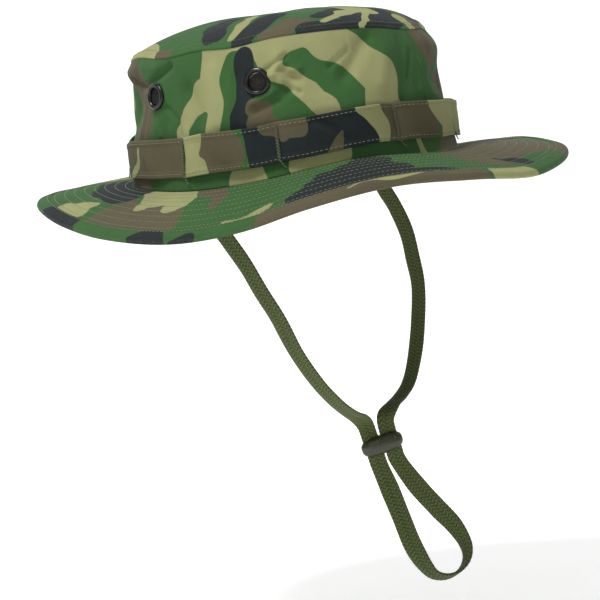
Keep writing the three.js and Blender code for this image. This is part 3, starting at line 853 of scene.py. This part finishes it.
def spline(points, steps=24):
    """A centripetal Catmull-Rom curve through points, with the same steps in every span."""
    points = np.array(points, dtype=float)
    first = 2 * points[0] - points[1]
    last = 2 * points[-1] - points[-2]
    padded = np.vstack([first, points, last])
    result = []
    for i in range(len(points) - 1):
        p0, p1, p2, p3 = padded[i:i + 4]
        d0, d1, d2 = (max(np.linalg.norm(b - a), 1e-9) ** 0.5
                      for a, b in ((p0, p1), (p1, p2), (p2, p3)))
        m1 = ((p1 - p0) / d0 - (p2 - p0) / (d0 + d1) + (p2 - p1) / d1) * d1
        m2 = ((p2 - p1) / d1 - (p3 - p1) / (d1 + d2) + (p3 - p2) / d2) * d1
        t = np.linspace(0, 1, steps, endpoint=False)[:, None]
        result.append(
            p1 * (1 + 2 * t) * (1 - t) ** 2 + p2 * (3 - 2 * t) * t ** 2
            + m1 * t * (1 - t) ** 2 - m2 * t ** 2 * (1 - t)
        )
    return np.vstack([*result, points[-1:]])


def frames_along(route, width, step):
    """Centres, width directions and thickness directions at even steps along a route."""
    reach = np.concatenate([[0], np.cumsum(np.linalg.norm(np.diff(route, axis=0), axis=1))])
    even = np.linspace(0, reach[-1], int(reach[-1] / step) + 1)
    centre = np.stack([np.interp(even, reach, route[:, k]) for k in range(3)], axis=1)
    width = np.stack([np.interp(even, reach, width[:, k]) for k in range(3)], axis=1)
    along = np.gradient(centre, even, axis=0)
    along /= np.linalg.norm(along, axis=1, keepdims=True)
    width -= along * np.sum(width * along, axis=1, keepdims=True)
    width /= np.linalg.norm(width, axis=1, keepdims=True)
    return even, centre, width, np.cross(along, width)


def braided(along, across):
    """A flat braid's relief, from 0 between strands to 1 on a strand, columns side by side."""
    column = np.clip((across / CORD_WIDTH + 0.5) * BRAID_COLUMNS, 0, BRAID_COLUMNS - 1e-6)
    index = np.floor(column)
    local = column - index - 0.5
    slant = np.where(index % 2 == 0, 1.0, -1.0)
    phase = along / BRAID_PITCH + 0.55 * slant * local + 0.5 * (index % 2)
    strand = np.abs(np.sin(np.pi * phase))
    return strand * (1 - (2 * local) ** 4 * 0.4)


def add_chin_cord():
    route = spline([stop for stop, _ in CORD_ROUTE]) / MM
    width = spline([way for _, way in CORD_ROUTE])
    along, centre, side, face = frames_along(route, width, 0.42)
    turn = np.linspace(0, 2 * np.pi, 48, endpoint=False)
    across = CORD_WIDTH / 2 * np.sign(np.cos(turn)) * np.abs(np.cos(turn)) ** 0.85
    proud = CORD_THICKNESS / 2 * np.sign(np.sin(turn)) * np.abs(np.sin(turn)) ** 0.45
    # The two faces' strands are half a pitch apart, as one strand passes from face to face.
    shift = np.where(np.sin(turn) >= 0, 0.0, BRAID_PITCH / 2)
    relief = braided(along[:, None] + shift, across[None, :])
    depth = 0.5 * (relief - 1)
    scale = 1 + depth / np.maximum(np.hypot(across, proud), 0.8)[None, :]
    swell = 1 + 0.015 * np.sin(along / 9.7) + 0.01 * np.sin(along / 4.1 + 1)
    # The braid spreads in the loop below the keeper.
    swell += 0.09 * np.clip((LOOP_TOP - centre[:, 2]) / 12, 0, 1)
    wide = across[None, :] * swell[:, None] * (1 + (scale - 1) * 0.3)
    thick = proud[None, :] * scale
    points = (centre[:, None, :] + side[:, None, :] * wide[..., None]
              + face[:, None, :] * thick[..., None])
    rows, columns = points.shape[:2]
    faces = [list(f) for f in grid_faces(rows, columns, True)]
    faces.append(list(range(columns))[::-1])
    faces.append([(rows - 1) * columns + j for j in range(columns)])
    # The third value is the braid's relief, which the braid material uses to paint shade between the
    # strands.
    yarn = layer(along[:, None], across[None, :] + 20 * (shift > 0), relief)
    cord = make_mesh("chin_cord_braid", points.reshape(-1, 3), faces, {"cloth": yarn})
    cord.data.materials.append(MATERIALS["braid"])
    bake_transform(cord)
    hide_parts("chin_cord")
    return cord, centre[::4] * MM


# ---------------------------------------------------------------- stitches

STITCH_RADIUS = 0.22
STITCH_PITCH = 2.6
STITCH_SHARE = 0.64  # of the pitch that shows as thread


def capsules(name, starts, ends, radius, sides=5):
    """One mesh of short rods with round ends, one for each start and end."""
    starts, ends = np.asarray(starts), np.asarray(ends)
    way = ends - starts
    length = np.linalg.norm(way, axis=1, keepdims=True)
    way = way / length
    helper = np.where(np.abs(way[:, 2:3]) > 0.9, [[1.0, 0, 0]], [[0, 0, 1.0]])
    side = np.cross(way, helper)
    side /= np.linalg.norm(side, axis=1, keepdims=True)
    other = np.cross(way, side)
    turn = np.linspace(0, 2 * np.pi, sides, endpoint=False)
    # Each rod's rings: how far along it each one is, and how wide.
    rings = [(0.04, 0.55), (0.2, 0.95), (0.5, 1.05), (0.8, 0.95), (0.96, 0.55)]
    blocks = [starts[:, None, :]]
    for share, wide in rings:
        middle = starts + way * length * share
        for a in turn:
            away = (side * math.cos(a) + other * math.sin(a)) * radius * wide
            blocks.append((middle + away)[:, None, :])
    blocks.append(ends[:, None, :])
    points = np.concatenate(blocks, axis=1)
    each = points.shape[1]
    one = []
    for j in range(sides):
        after = (j + 1) % sides
        one.append([0, 1 + after, 1 + j, 1 + j])
        for i in range(len(rings) - 1):
            low, high = 1 + i * sides, 1 + (i + 1) * sides
            one.append([low + j, low + after, high + after, high + j])
        top = 1 + (len(rings) - 1) * sides
        one.append([top + j, top + after, each - 1, each - 1])
    first = (np.arange(len(starts)) * each)[:, None, None]
    faces = (np.array(one)[None, :, :] + first).reshape(-1, 4)
    faces = [f[:3] if f[2] == f[3] else f for f in faces.tolist()]
    return make_mesh(name, points.reshape(-1, 3), faces)


def row_of_stitches(surface):
    """Stitch ends at an even pitch along a closed line surface(angle)."""
    angle = np.linspace(0, 2 * np.pi, 2401)
    line = surface(angle)
    reach = np.concatenate([[0], np.cumsum(np.linalg.norm(np.diff(line, axis=0), axis=1))])
    count = int(reach[-1] / STITCH_PITCH)
    low = np.arange(count) * reach[-1] / count
    jitter = rng.uniform(-0.06, 0.06, count) * STITCH_PITCH
    at = lambda r: np.stack([np.interp(r, reach, line[:, k]) for k in range(3)], axis=1)
    return at(low + jitter), at(low + jitter + STITCH_PITCH * STITCH_SHARE)


def add_stitches(name, lines, material="thread"):
    starts, ends = zip(*(row_of_stitches(line) for line in lines))
    piece = capsules(name, np.concatenate(starts), np.concatenate(ends), STITCH_RADIUS)
    return place(piece, MATERIALS[material])


# ---------------------------------------------------------------- crown

VENT_CLEARANCE = 6.6  # radius of the hole in the cloth


def angles(count=480):
    return np.linspace(0, 2 * np.pi, count, endpoint=False)[None, :]


def layer(u, v, rubbed=0.0):
    """The cloth's own place in millimetres, and how rubbed it is; on the braid the third value is
    its relief, which the braid material turns into painted shade.
    """
    return np.stack(np.broadcast_arrays(u, v, rubbed), axis=-1)


def vent_angles():
    names = ["front_left", "back_left", "back_right", "front_right"]
    degrees = [-VENT_ANGLE, VENT_ANGLE, 180 - VENT_ANGLE, 180 + VENT_ANGLE]
    return list(zip(names, np.radians(degrees)))


def vent_frame(angle):
    """A vent's place on the crown as a matrix whose Z looks out of the wall, in metres."""
    at, along, up = (
        Vector(on_crown(np.array(a), np.array(h, dtype=float), 0.0, False))
        for a, h in ((angle, VENT_HEIGHT), (angle + 0.01, VENT_HEIGHT), (angle, VENT_HEIGHT + 1))
    )
    out = (along - at).cross(up - at).normalized()
    across = (along - at).normalized()
    rise = out.cross(across)
    turn = Matrix((across, rise, out)).transposed().to_4x4()
    stand = float(folds(np.array(angle), np.array(float(VENT_HEIGHT))))
    return Matrix.Translation((at + out * stand) * MM) @ turn


def outside_vents(points):
    """Which grid faces lie clear of every vent's hole."""
    flat = points.reshape(-1, 3)
    centres = [np.array(vent_frame(angle).translation) / MM for _, angle in vent_angles()]

    def keep(faces):
        middle = flat[faces].mean(axis=1)
        return np.all([np.linalg.norm(middle - c, axis=1) > VENT_CLEARANCE for c in centres], axis=0)

    return keep


def add_crown_sides():
    height = np.linspace(0.3, CROWN_HEIGHT - 1.2, 76)[:, None]
    for name, low, high in (("left", -90, 90), ("right", 90, 270)):
        angle = np.radians(np.linspace(low + 0.1, high - 0.1, 300))[None, :]
        outer = on_crown(angle, height)
        inner = on_crown(angle, height, -1.0)
        rubbed = np.clip(1 - (CROWN_HEIGHT - height) / 4, 0, 1) * 0.6
        layers = {
            "camo": crown_camouflage(*np.broadcast_arrays(angle, height)),
            "cloth": layer(np.degrees(angle) * CROWN_SCALE, height, rubbed),
        }
        side = shell(f"crown_side_{name}_cloth", outer, inner, False, layers, outside_vents(outer))
        place(side, MATERIALS["cloth"], nodes=[f"crown_side_{name}"])


def add_crown_top():
    angle = angles()
    # Up the folded lip, over its edge and in to the middle: [height or reach, stand].
    lip = [(71.2, 0.15), (71.4, 0.38), (71.8, 0.45), (72.2, 0.4), (72.6, 0.25), (73, 0),
           (73.3, -0.4)]
    rows = [on_crown(angle, np.array(h), s) for h, s in lip]
    reaches = np.concatenate([[0.992, 0.984, 0.975, 0.965, 0.955], np.linspace(0.94, 0.0, 44)])
    rows += [on_top(angle, np.array(r), 0.35 if r > 0.97 else 0.0) for r in reaches]
    outer = np.concatenate([r.reshape(1, -1, 3) for r in rows])
    inner = outer.copy()
    inner[:, :, 2] -= 0.9
    lip_in = 0.7 * (np.arange(len(rows)) < 8)[:, None]
    inner[:, :, 0] -= lip_in * np.cos(angle)
    inner[:, :, 1] -= lip_in * np.sin(angle)
    inner[:8, :, 2] += 0.9 * np.linspace(1, 0, 8)[:, None]
    flat = outer[:, :, :2]
    rubbed = np.zeros(outer.shape[:2])
    rubbed[4:8] = 0.35
    layers = {
        "camo": paint(flat[..., 0], flat[..., 1], TOP_STROKES),
        "cloth": layer(flat[..., 0], flat[..., 1], rubbed),
    }
    top = shell("crown_top_cloth", outer, inner, True, layers)
    place(top, MATERIALS["cloth"], nodes=["crown_top"])
    add_stitches("crown_top_stitches", [lambda a: on_top(a, 0.968, 0.12)], "dark_thread")


def add_ring(name, rows, outer_at, thickness, material, nodes, count=240):
    """A plain ring of cloth between rows of heights, set inward by its thickness."""
    angle = angles(count)
    outer = np.concatenate([outer_at(angle, h, 0.0).reshape(1, -1, 3) for h in rows])
    inner = np.concatenate([outer_at(angle, h, -thickness).reshape(1, -1, 3) for h in rows])
    u = np.degrees(angle) * CROWN_SCALE
    layers = {"cloth": layer(u, np.array(rows, dtype=float)[:, None])}
    ring = shell(name, outer, inner, True, layers)
    return place(ring, MATERIALS[material], nodes=nodes)


def add_linings():
    def on_tape(angle, height, stand):
        ridge = 0.5 * np.exp(-((height - 69) / 1.2) ** 2)
        return on_crown(angle, np.array(height), -1.4 + stand - ridge)

    def on_sweatband(angle, height, stand):
        roll = 0.35 * np.sin(height / 4) ** 2
        return on_crown(angle, np.array(height), -2.2 + stand - roll)

    add_ring("crown_seam_tape_cloth", np.linspace(66.8, 71.4, 8), on_tape, 0.8,
             "tape", ["crown_seam_tape"])
    add_ring("sweatband_cloth", np.linspace(-3.2, 28, 30), on_sweatband, 1.1,
             "tape", ["sweatband"])
    add_stitches("sweatband_stitches", [
        lambda a: on_crown(a, 26.4, -3.75),
        lambda a: on_crown(a, 1.5, -3.75),
    ])


def add_size_label():
    """A blank woven label sewn to the sweatband at the back."""
    u, v = np.meshgrid(np.linspace(-12, 12, 33), np.linspace(-8, 8, 23))
    angle = np.pi / 2 - u / OPENING_HALF_WIDTH
    height = 14 + v
    bulge = 0.25 * np.cos(u / 12 * np.pi / 2) * np.cos(v / 8 * np.pi / 2)
    inner = on_crown(angle, height, -4.3 - bulge)
    outer = on_crown(angle, height, -3.75 - bulge)
    label = shell("size_label_cloth", outer, inner, False, {"cloth": layer(u, v)})
    place(label, MATERIALS["label"], nodes=["size_label"])
    corners = [(-11, -7), (11, -7), (11, 7), (-11, 7), (-11, -7)]
    starts, ends = [], []
    for (u0, v0), (u1, v1) in zip(corners, corners[1:]):
        count = int(math.hypot(u1 - u0, v1 - v0) / 2)
        for i in range(count):
            for share, out in ((i + 0.1, starts), (i + 0.8, ends)):
                along = u0 + (u1 - u0) * share / count
                rise = v0 + (v1 - v0) * share / count
                at = np.pi / 2 - along / OPENING_HALF_WIDTH
                out.append(on_crown(np.array(at), np.array(14 + rise), -4.42))
    piece = capsules("size_label_stitches", starts, ends, 0.16)
    place(piece, MATERIALS["thread"])


# ---------------------------------------------------------------- foliage band

BAND_BOTTOM = 7.5
BAND_TOP = 28.5
TACKS = [10, 50, 91, 122, 171.3, 206.5, 248.7, 289, 330]
LOOP_STANDS = [2.8, 2.8, 2.6, 2.6, 2.4, 3.0, 4.6, 2.8, 2.8]


def band_stand(angle):
    """How far the band stands off the crown: nothing at a tack, most between two."""
    turn = np.mod(np.degrees(angle) - TACKS[0], 360) + TACKS[0]
    edges = np.array(TACKS + [TACKS[0] + 360])
    i = np.clip(np.searchsorted(edges, turn, side="right") - 1, 0, len(TACKS) - 1)
    t = (turn - edges[i]) / (edges[i + 1] - edges[i])
    return 0.5 + np.array(LOOP_STANDS)[i] * np.sin(np.pi * t) ** 0.7


def on_band(angle, height, stand=0.0):
    t = (height - BAND_BOTTOM) / (BAND_TOP - BAND_BOTTOM)
    off = band_stand(angle)
    flare = 0.5 * (2 * t - 1) * (off - 0.5)
    ripple = 0.55 * np.sin(19 * angle + 3 * t) * np.clip(off - 0.5, 0, 1)
    crease = segment_field(unrolled(angle, 224), height, [[-8, 26, 0], [2, 20, 0], [8, 11, 0]])
    ripple = ripple - 1.1 * np.exp(-(crease / 2.2) ** 2)
    sag = 6 * t * np.exp(-((np.degrees(angle) - 119) / 14) ** 2)
    rise = 0.5 * np.sin(4.5 * angle) * np.clip(off - 0.5, 0, 2) - sag
    level = np.stack(np.broadcast_arrays(0.0, 0.0, rise), axis=-1)
    return on_crown(angle, height, off + flare + ripple + stand, False) + level


def add_foliage_band():
    angle = angles(720)
    height = np.concatenate([
        [BAND_BOTTOM, BAND_BOTTOM + 0.3], np.linspace(BAND_BOTTOM + 1, BAND_TOP - 1, 24),
        [BAND_TOP - 0.3, BAND_TOP],
    ])[:, None]
    near_edge = np.minimum(height - BAND_BOTTOM, BAND_TOP - height)
    hem = 0.35 * (near_edge < 3.4) - 0.25 * (near_edge < 0.2)
    groove = -0.2 * np.exp(-((near_edge - 1.9) / 0.5) ** 2)
    outer = on_band(angle, height, 0.75 + hem + groove)
    inner = on_band(angle, height, -hem * 0.4)
    rubbed = np.clip(1 - near_edge / 0.8, 0, 1)
    layers = {
        "camo": band_camouflage(*np.broadcast_arrays(angle, height)),
        "cloth": layer(np.degrees(angle) * BAND_SCALE, height, rubbed),
    }
    band = shell("foliage_band_cloth", outer, inner, True, layers)
    place(band, MATERIALS["cloth"], nodes=["foliage_band"])
    add_stitches("foliage_band_stitches", [
        lambda a: on_band(a, BAND_BOTTOM + 1.9, 1.0),
        lambda a: on_band(a, BAND_TOP - 1.9, 1.0),
    ])
    add_bartacks()


def add_bartacks():
    """A zigzag of thread at each tack, with its cut end hanging below the band."""
    starts, ends = [], []
    for degrees in TACKS:
        middle = math.radians(degrees)
        half = 1.1 / OPENING_HALF_LENGTH
        heights = np.arange(BAND_BOTTOM + 0.8, BAND_TOP - 0.8, 0.85)
        for i, h in enumerate(heights):
            side = 1 if i % 2 else -1
            for shift, out in ((-side, starts), (side, ends)):
                rise = 0.42 * (shift == side)
                out.append(on_band(np.array(middle + shift * half), np.array(h + rise), 1.15))
        tail = [(0.0, BAND_BOTTOM + 1), (0.012, BAND_BOTTOM - 0.6), (0.02, BAND_BOTTOM - 2.4),
                (0.034, BAND_BOTTOM - 3.2)]
        for (a0, h0), (a1, h1) in zip(tail, tail[1:]):
            starts.append(on_band(np.array(middle + a0), np.array(h0), 1.3))
            ends.append(on_band(np.array(middle + a1), np.array(h1), 1.3))
    piece = capsules("foliage_band_bartacks", starts, ends, 0.4)
    place(piece, MATERIALS["dark_thread"])


# ---------------------------------------------------------------- brim

ROWS = 8
FIRST_ROW, LAST_ROW = 0.085, 0.83
BINDING_REACH = 0.885
PLY = 0.8
INTERLINING = 0.6


def quilting(angle, reach):
    """How far the cloth swells between rows of stitches, with the pucker that they pull."""
    gap = (LAST_ROW - FIRST_ROW) / (ROWS - 1)
    phase = (reach - FIRST_ROW) / gap
    swell = np.abs(np.sin(np.pi * phase)) ** 0.6
    pucker = 0.5 + 0.5 * np.sin(230 * angle + 1.7 * np.floor(phase))
    sewn = (reach < LAST_ROW + gap) & (reach > 0)
    return np.where(sewn, 0.42 * swell * (0.8 + 0.2 * pucker), 0.05)


def brim_ply(name, top, thickness, cover, count, node, quilt=0.0):
    """One ply of the brim, from its edge in to the crown, its upper face at height top.

    quilt is 1 for cloth that swells up between the rows of stitches, -1 for down and 0 for canvas.
    """
    angle = angles(count)
    reach = np.linspace(cover, 0.004, 66)[:, None]
    swell = quilting(angle, reach)
    upper = on_brim(angle, reach, top + max(quilt, 0) * swell)
    lower = on_brim(angle, reach, top - thickness + min(quilt, 0) * swell)
    u, v = flat_brim(angle, reach)
    layers = {"cloth": layer(u, v)}
    if quilt:
        layers["camo"] = paint(u * quilt, v, BRIM_STROKES)
    ply = shell(name, upper, lower, True, layers)
    place(ply, MATERIALS["cloth" if quilt else "canvas"], nodes=[node])


def add_brim():
    brim_ply("brim_upper_cloth", 0.0, PLY, 0.99, 600, "brim_upper", 1.0)
    brim_ply("brim_interlining_canvas", -1.1, INTERLINING, 0.985, 200,
             "brim_interlining")
    brim_ply("brim_lower_cloth", -2.0, PLY, 0.99, 600, "brim_lower", -1.0)
    add_binding()
    rows = np.linspace(FIRST_ROW, LAST_ROW, ROWS)
    add_stitches("brim_upper_stitches", [
        (lambda a, r=r: on_brim(a, r, 0.16)) for r in rows
    ] + [lambda a: on_brim(a, 0.012, 0.25)])
    add_stitches("brim_lower_stitches", [
        (lambda a, r=r: on_brim(a, r, -2.96)) for r in rows
    ])


def add_binding():
    """The cloth folded over the brim's edge, from its upper hem round to its lower one."""
    angle = angles(720)
    # The fold's outline as (reach, height), from its upper hem round the turn to its lower one.
    turn_reach, middle = 0.988, -1.4
    upper = [
        (BINDING_REACH + (turn_reach - BINDING_REACH) * t, 0.62 + 0.2 * math.sin(math.pi * t))
        for t in np.linspace(0, 1, 8)
    ]
    turn = [
        (turn_reach + 0.03 * math.sin(t), middle + 2.02 * math.cos(t))
        for t in np.linspace(0.3, math.pi - 0.3, 12)
    ]
    lower = [(r, 2 * middle - h) for r, h in upper[::-1]]
    outline = upper + turn + lower
    outer = [on_brim(angle, np.array(r), h) for r, h in outline[::-1]]
    inner = []
    for r, h in outline[::-1]:
        inner.append(on_brim(angle, np.array(min(r, 1.004)), middle + (h - middle) * 0.76))
    outer = np.concatenate([o.reshape(1, -1, 3) for o in outer])
    inner = np.concatenate([o.reshape(1, -1, 3) for o in inner])
    across = np.linspace(-9, 9, len(outline))[:, None]
    rubbed = np.clip(1 - np.abs(across) / 2.5, 0, 1)
    layers = {
        "camo": edge_camouflage(*np.broadcast_arrays(angle, across)),
        "cloth": layer(np.degrees(angle) * EDGE_SCALE, across, rubbed),
    }
    binding = shell("brim_binding_cloth", outer, inner, True, layers)
    place(binding, MATERIALS["cloth"], nodes=["brim_binding"])
    add_stitches("brim_binding_stitches", [
        lambda a: on_brim(a, BINDING_REACH + 0.018, 0.86),
        lambda a: on_brim(a, BINDING_REACH + 0.018, -3.62),
    ])


# ---------------------------------------------------------------- vents

# The seen vents are this share of their CAD rims' width, because the photo's look slimmer.
VENT_SHARE = 0.93


def add_vents():
    rim = rounded([[5.0, -3.2], [5.6, -3.2], [5.65, 0.1], [7.9, 0.25], [8.25, 0.7], [7.9, 1.5],
                   [6.9, 2.05], [5.9, 1.9], [5.2, 1.0]])
    washer = rounded([[5.95, -2.7], [8.0, -2.55], [8.0, -2.15], [5.95, -1.9]], 2)
    for name, angle in vent_angles():
        at = vent_frame(angle)
        for kind, piece in (
            ("rim", turned(f"vent_rim_{name}_metal", rim)),
            ("washer", turned(f"vent_washer_{name}_metal", washer)),
            ("screen", wire_screen(f"vent_screen_{name}_wire")),
        ):
            piece.data.transform(at @ Matrix.Diagonal((VENT_SHARE, VENT_SHARE, 1, 1)))
            material = "screen" if kind == "screen" else "vent"
            place(piece, MATERIALS[material], nodes=[f"vent_{kind}_{name}"])


def wire_screen(name):
    """A disc of woven wire, each wire waving over and under those that cross it."""
    radius, pitch = 5.2, 0.86
    starts, ends = [], []
    offsets = np.arange(-5, 6) * pitch
    for k, offset in enumerate(offsets):
        half = math.sqrt(max(radius ** 2 - offset ** 2, 0.2))
        at = np.linspace(-half, half, 25)
        wave = 0.17 * np.cos(np.pi * at / pitch) * (1 if k % 2 else -1)
        dish = -0.35 + 0.02 * (at ** 2 + offset ** 2)
        first = np.stack([at, np.full_like(at, offset), dish + wave], axis=1)
        second = np.stack([np.full_like(at, offset), at, dish - wave], axis=1)
        for wire in (first, second):
            starts.extend(wire[:-1])
            ends.extend(wire[1:])
    starts, ends = np.array(starts), np.array(ends)
    grow = (ends - starts) * 0.18
    return capsules(name, starts - grow, ends + grow, 0.24)


# ---------------------------------------------------------------- tabs and keeper

def add_tabs():
    """The cord's ends, folded in tape and sewn under the brim at each ear."""
    low, high = -18.3, -9.0
    tab_x, tab_y = 81, 2
    for name, side in (("left", 1), ("right", -1)):
        u, v = np.meshgrid(np.linspace(-5, 5, 23), np.linspace(low, high, 21))
        corner = np.clip((low + 2.2 - v) / 2.2, 0, 1)
        wide = 1 - 0.28 * corner ** 2
        pillow = 1.15 * np.sqrt(np.clip(1 - (np.abs(u) / 5.4) ** 4, 0.05, 1))
        bulge = pillow * (1 - 0.25 * corner ** 2)
        ribs = 0.1 * np.cos(2 * np.pi * u / 1.25)
        y = tab_y + u * wide * side
        outer = np.stack([side * tab_x + side * (bulge + ribs), y, v], axis=-1)
        inner = np.stack([side * tab_x - side * (bulge + ribs), y, v], axis=-1)
        tab = shell(f"chin_cord_tab_{name}_tape", outer, inner, False, {"cloth": layer(u, v)})
        place(tab, MATERIALS["tape"], nodes=[f"chin_cord_tab_{name}"])
        starts, ends = [], []
        for i in range(7):
            a, b = -3.6 + i * 1.05, -3.6 + (i + 0.75) * 1.05
            for y, out in ((a, starts), (b, ends)):
                out.append([side * (tab_x + 1.25), tab_y + y, -12.2])
        place(capsules(f"chin_cord_tab_{name}_stitches", starts, ends, 0.2),
              MATERIALS["thread"])


KEEPER = Vector((0, -34, -162))
KEEPER_DOWN = Vector((0.12, -0.16, -0.98)).normalized()
KEEPER_YAW = math.radians(-40)
SLOT_SPACING = 10.8


def keeper_axes():
    level = Vector((math.cos(KEEPER_YAW), math.sin(KEEPER_YAW), 0))
    long = (level - KEEPER_DOWN * level.dot(KEEPER_DOWN)).normalized()
    return long, KEEPER_DOWN.cross(long), KEEPER_DOWN


def add_keeper():
    """A pebble-shaped barrel with a slot for each leg of the cord."""
    steps, rings = 96, 48
    turn = np.linspace(0, 2 * np.pi, steps, endpoint=False)[None, :]
    rise = np.linspace(-np.pi / 2, np.pi / 2, rings)[:, None]
    power = lambda value, n: np.sign(value) * np.abs(value) ** n
    flat = power(np.cos(rise), 0.62)
    x = 12.3 * flat * power(np.cos(turn), 0.82)
    y = 4.7 * flat * power(np.sin(turn), 0.9)
    z = 5.4 * power(np.sin(rise), 0.75) * np.ones_like(turn)
    points = np.stack([x, y, z], axis=-1).reshape(-1, 3)
    keeper = make_mesh("cord_keeper_barrel", points, grid_faces(rings, steps, True))
    clean(keeper)
    for side in (-1, 1):
        cut_slot(keeper, side * SLOT_SPACING / 2)
    long, depth, down = keeper_axes()
    turn = Matrix((long, depth, down)).transposed().to_4x4()
    keeper.data.transform(Matrix.Translation(KEEPER * MM) @ turn)
    keeper.data.polygons.foreach_set("use_smooth", [True] * len(keeper.data.polygons))
    keeper.data.set_sharp_from_angle(angle=math.radians(40))
    return place(keeper, MATERIALS["keeper"], "keeper", ["cord_keeper"])


def cut_slot(keeper, centre):
    """Cuts a slot with round ends down through the barrel."""
    half, thick = (CORD_WIDTH - CORD_THICKNESS) / 2 - 0.2, CORD_THICKNESS / 2 + 0.55
    outline = []
    for end in (1, -1):
        for t in np.linspace(-np.pi / 2, np.pi / 2, 9):
            outline.append([centre + end * (half + thick * math.cos(t)), end * thick * math.sin(t)])
    count = len(outline)
    points = [[*p, -9] for p in outline] + [[*p, 9] for p in outline]
    faces = [[i, (i + 1) % count, (i + 1) % count + count, i + count] for i in range(count)]
    faces += [list(range(count))[::-1], list(range(count, 2 * count))]
    cutter = make_mesh("slot_cutter", points, faces)
    cut = keeper.modifiers.new("slot", "BOOLEAN")
    cut.operation = "DIFFERENCE"
    cut.solver = "EXACT"
    cut.object = cutter
    evaluated = keeper.evaluated_get(bpy.context.evaluated_depsgraph_get())
    mesh = bpy.data.meshes.new_from_object(evaluated)
    keeper.modifiers.clear()
    keeper.data = mesh
    bpy.data.objects.remove(cutter)


# ---------------------------------------------------------------- studio

FLOOR = -0.262  # in metres, just below the hanging cord


def add_stage():
    """A pale floor that curves up into a backdrop."""
    across = np.linspace(-6, 6, 9)
    bend, radius = 2.2, 1.2
    profile = [[-6, FLOOR], [bend, FLOOR]]
    for t in np.linspace(0.15, math.pi / 2, 10):
        profile.append([bend + radius * math.sin(t), FLOOR + radius - radius * math.cos(t)])
    profile.append([3.4, FLOOR + 6])
    points = [[x / MM, y / MM, z / MM] for y, z in profile for x in across]
    backdrop = make_mesh("studio_floor", points, grid_faces(len(profile), len(across), False))
    backdrop.rotation_euler.z = CAMERA_AZIMUTH
    shader = Shader("pale_paper")
    tone = shader.fade(shader.noise(shader.place(), 3, 2), 0.3, 0.7, 0.86, 0.9)
    paper = shader.set(Base_Color=shader.grey(tone), Roughness=0.95,
                       Emission_Color=(1, 1, 1, 1), Emission_Strength=0.5)
    backdrop.data.materials.append(paper)


def add_light(name, at, target, size, power):
    data = bpy.data.lights.new(name, "AREA")
    data.shape = "DISK"
    data.size = size
    data.energy = power
    light = bpy.data.objects.new(name, data)
    light.location = at
    light.rotation_euler = (Vector(target) - Vector(at)).to_track_quat("-Z", "Y").to_euler()
    bpy.context.scene.collection.objects.link(light)


def add_studio():
    add_stage()
    world = bpy.data.worlds.new("studio")
    world.use_nodes = True
    world.node_tree.nodes["Background"].inputs["Color"].default_value = (1, 1, 1, 1)
    world.node_tree.nodes["Background"].inputs["Strength"].default_value = 0.32
    bpy.context.scene.world = world
    bpy.context.scene.view_settings.view_transform = "Standard"
    centre = (0, 0, 0)
    add_light("key", (-1.1, 0.2, 2.3), centre, 0.8, 60)
    add_light("fill", (-1.7, -1.3, 0.7), centre, 1.6, 3)


# ---------------------------------------------------------------- the hat

add_camera()
cord, cord_path = add_chin_cord()
keeper = add_keeper()
add_crown_sides()
add_crown_top()
add_linings()
add_size_label()
add_foliage_band()
add_brim()
add_vents()
add_tabs()
add_studio()
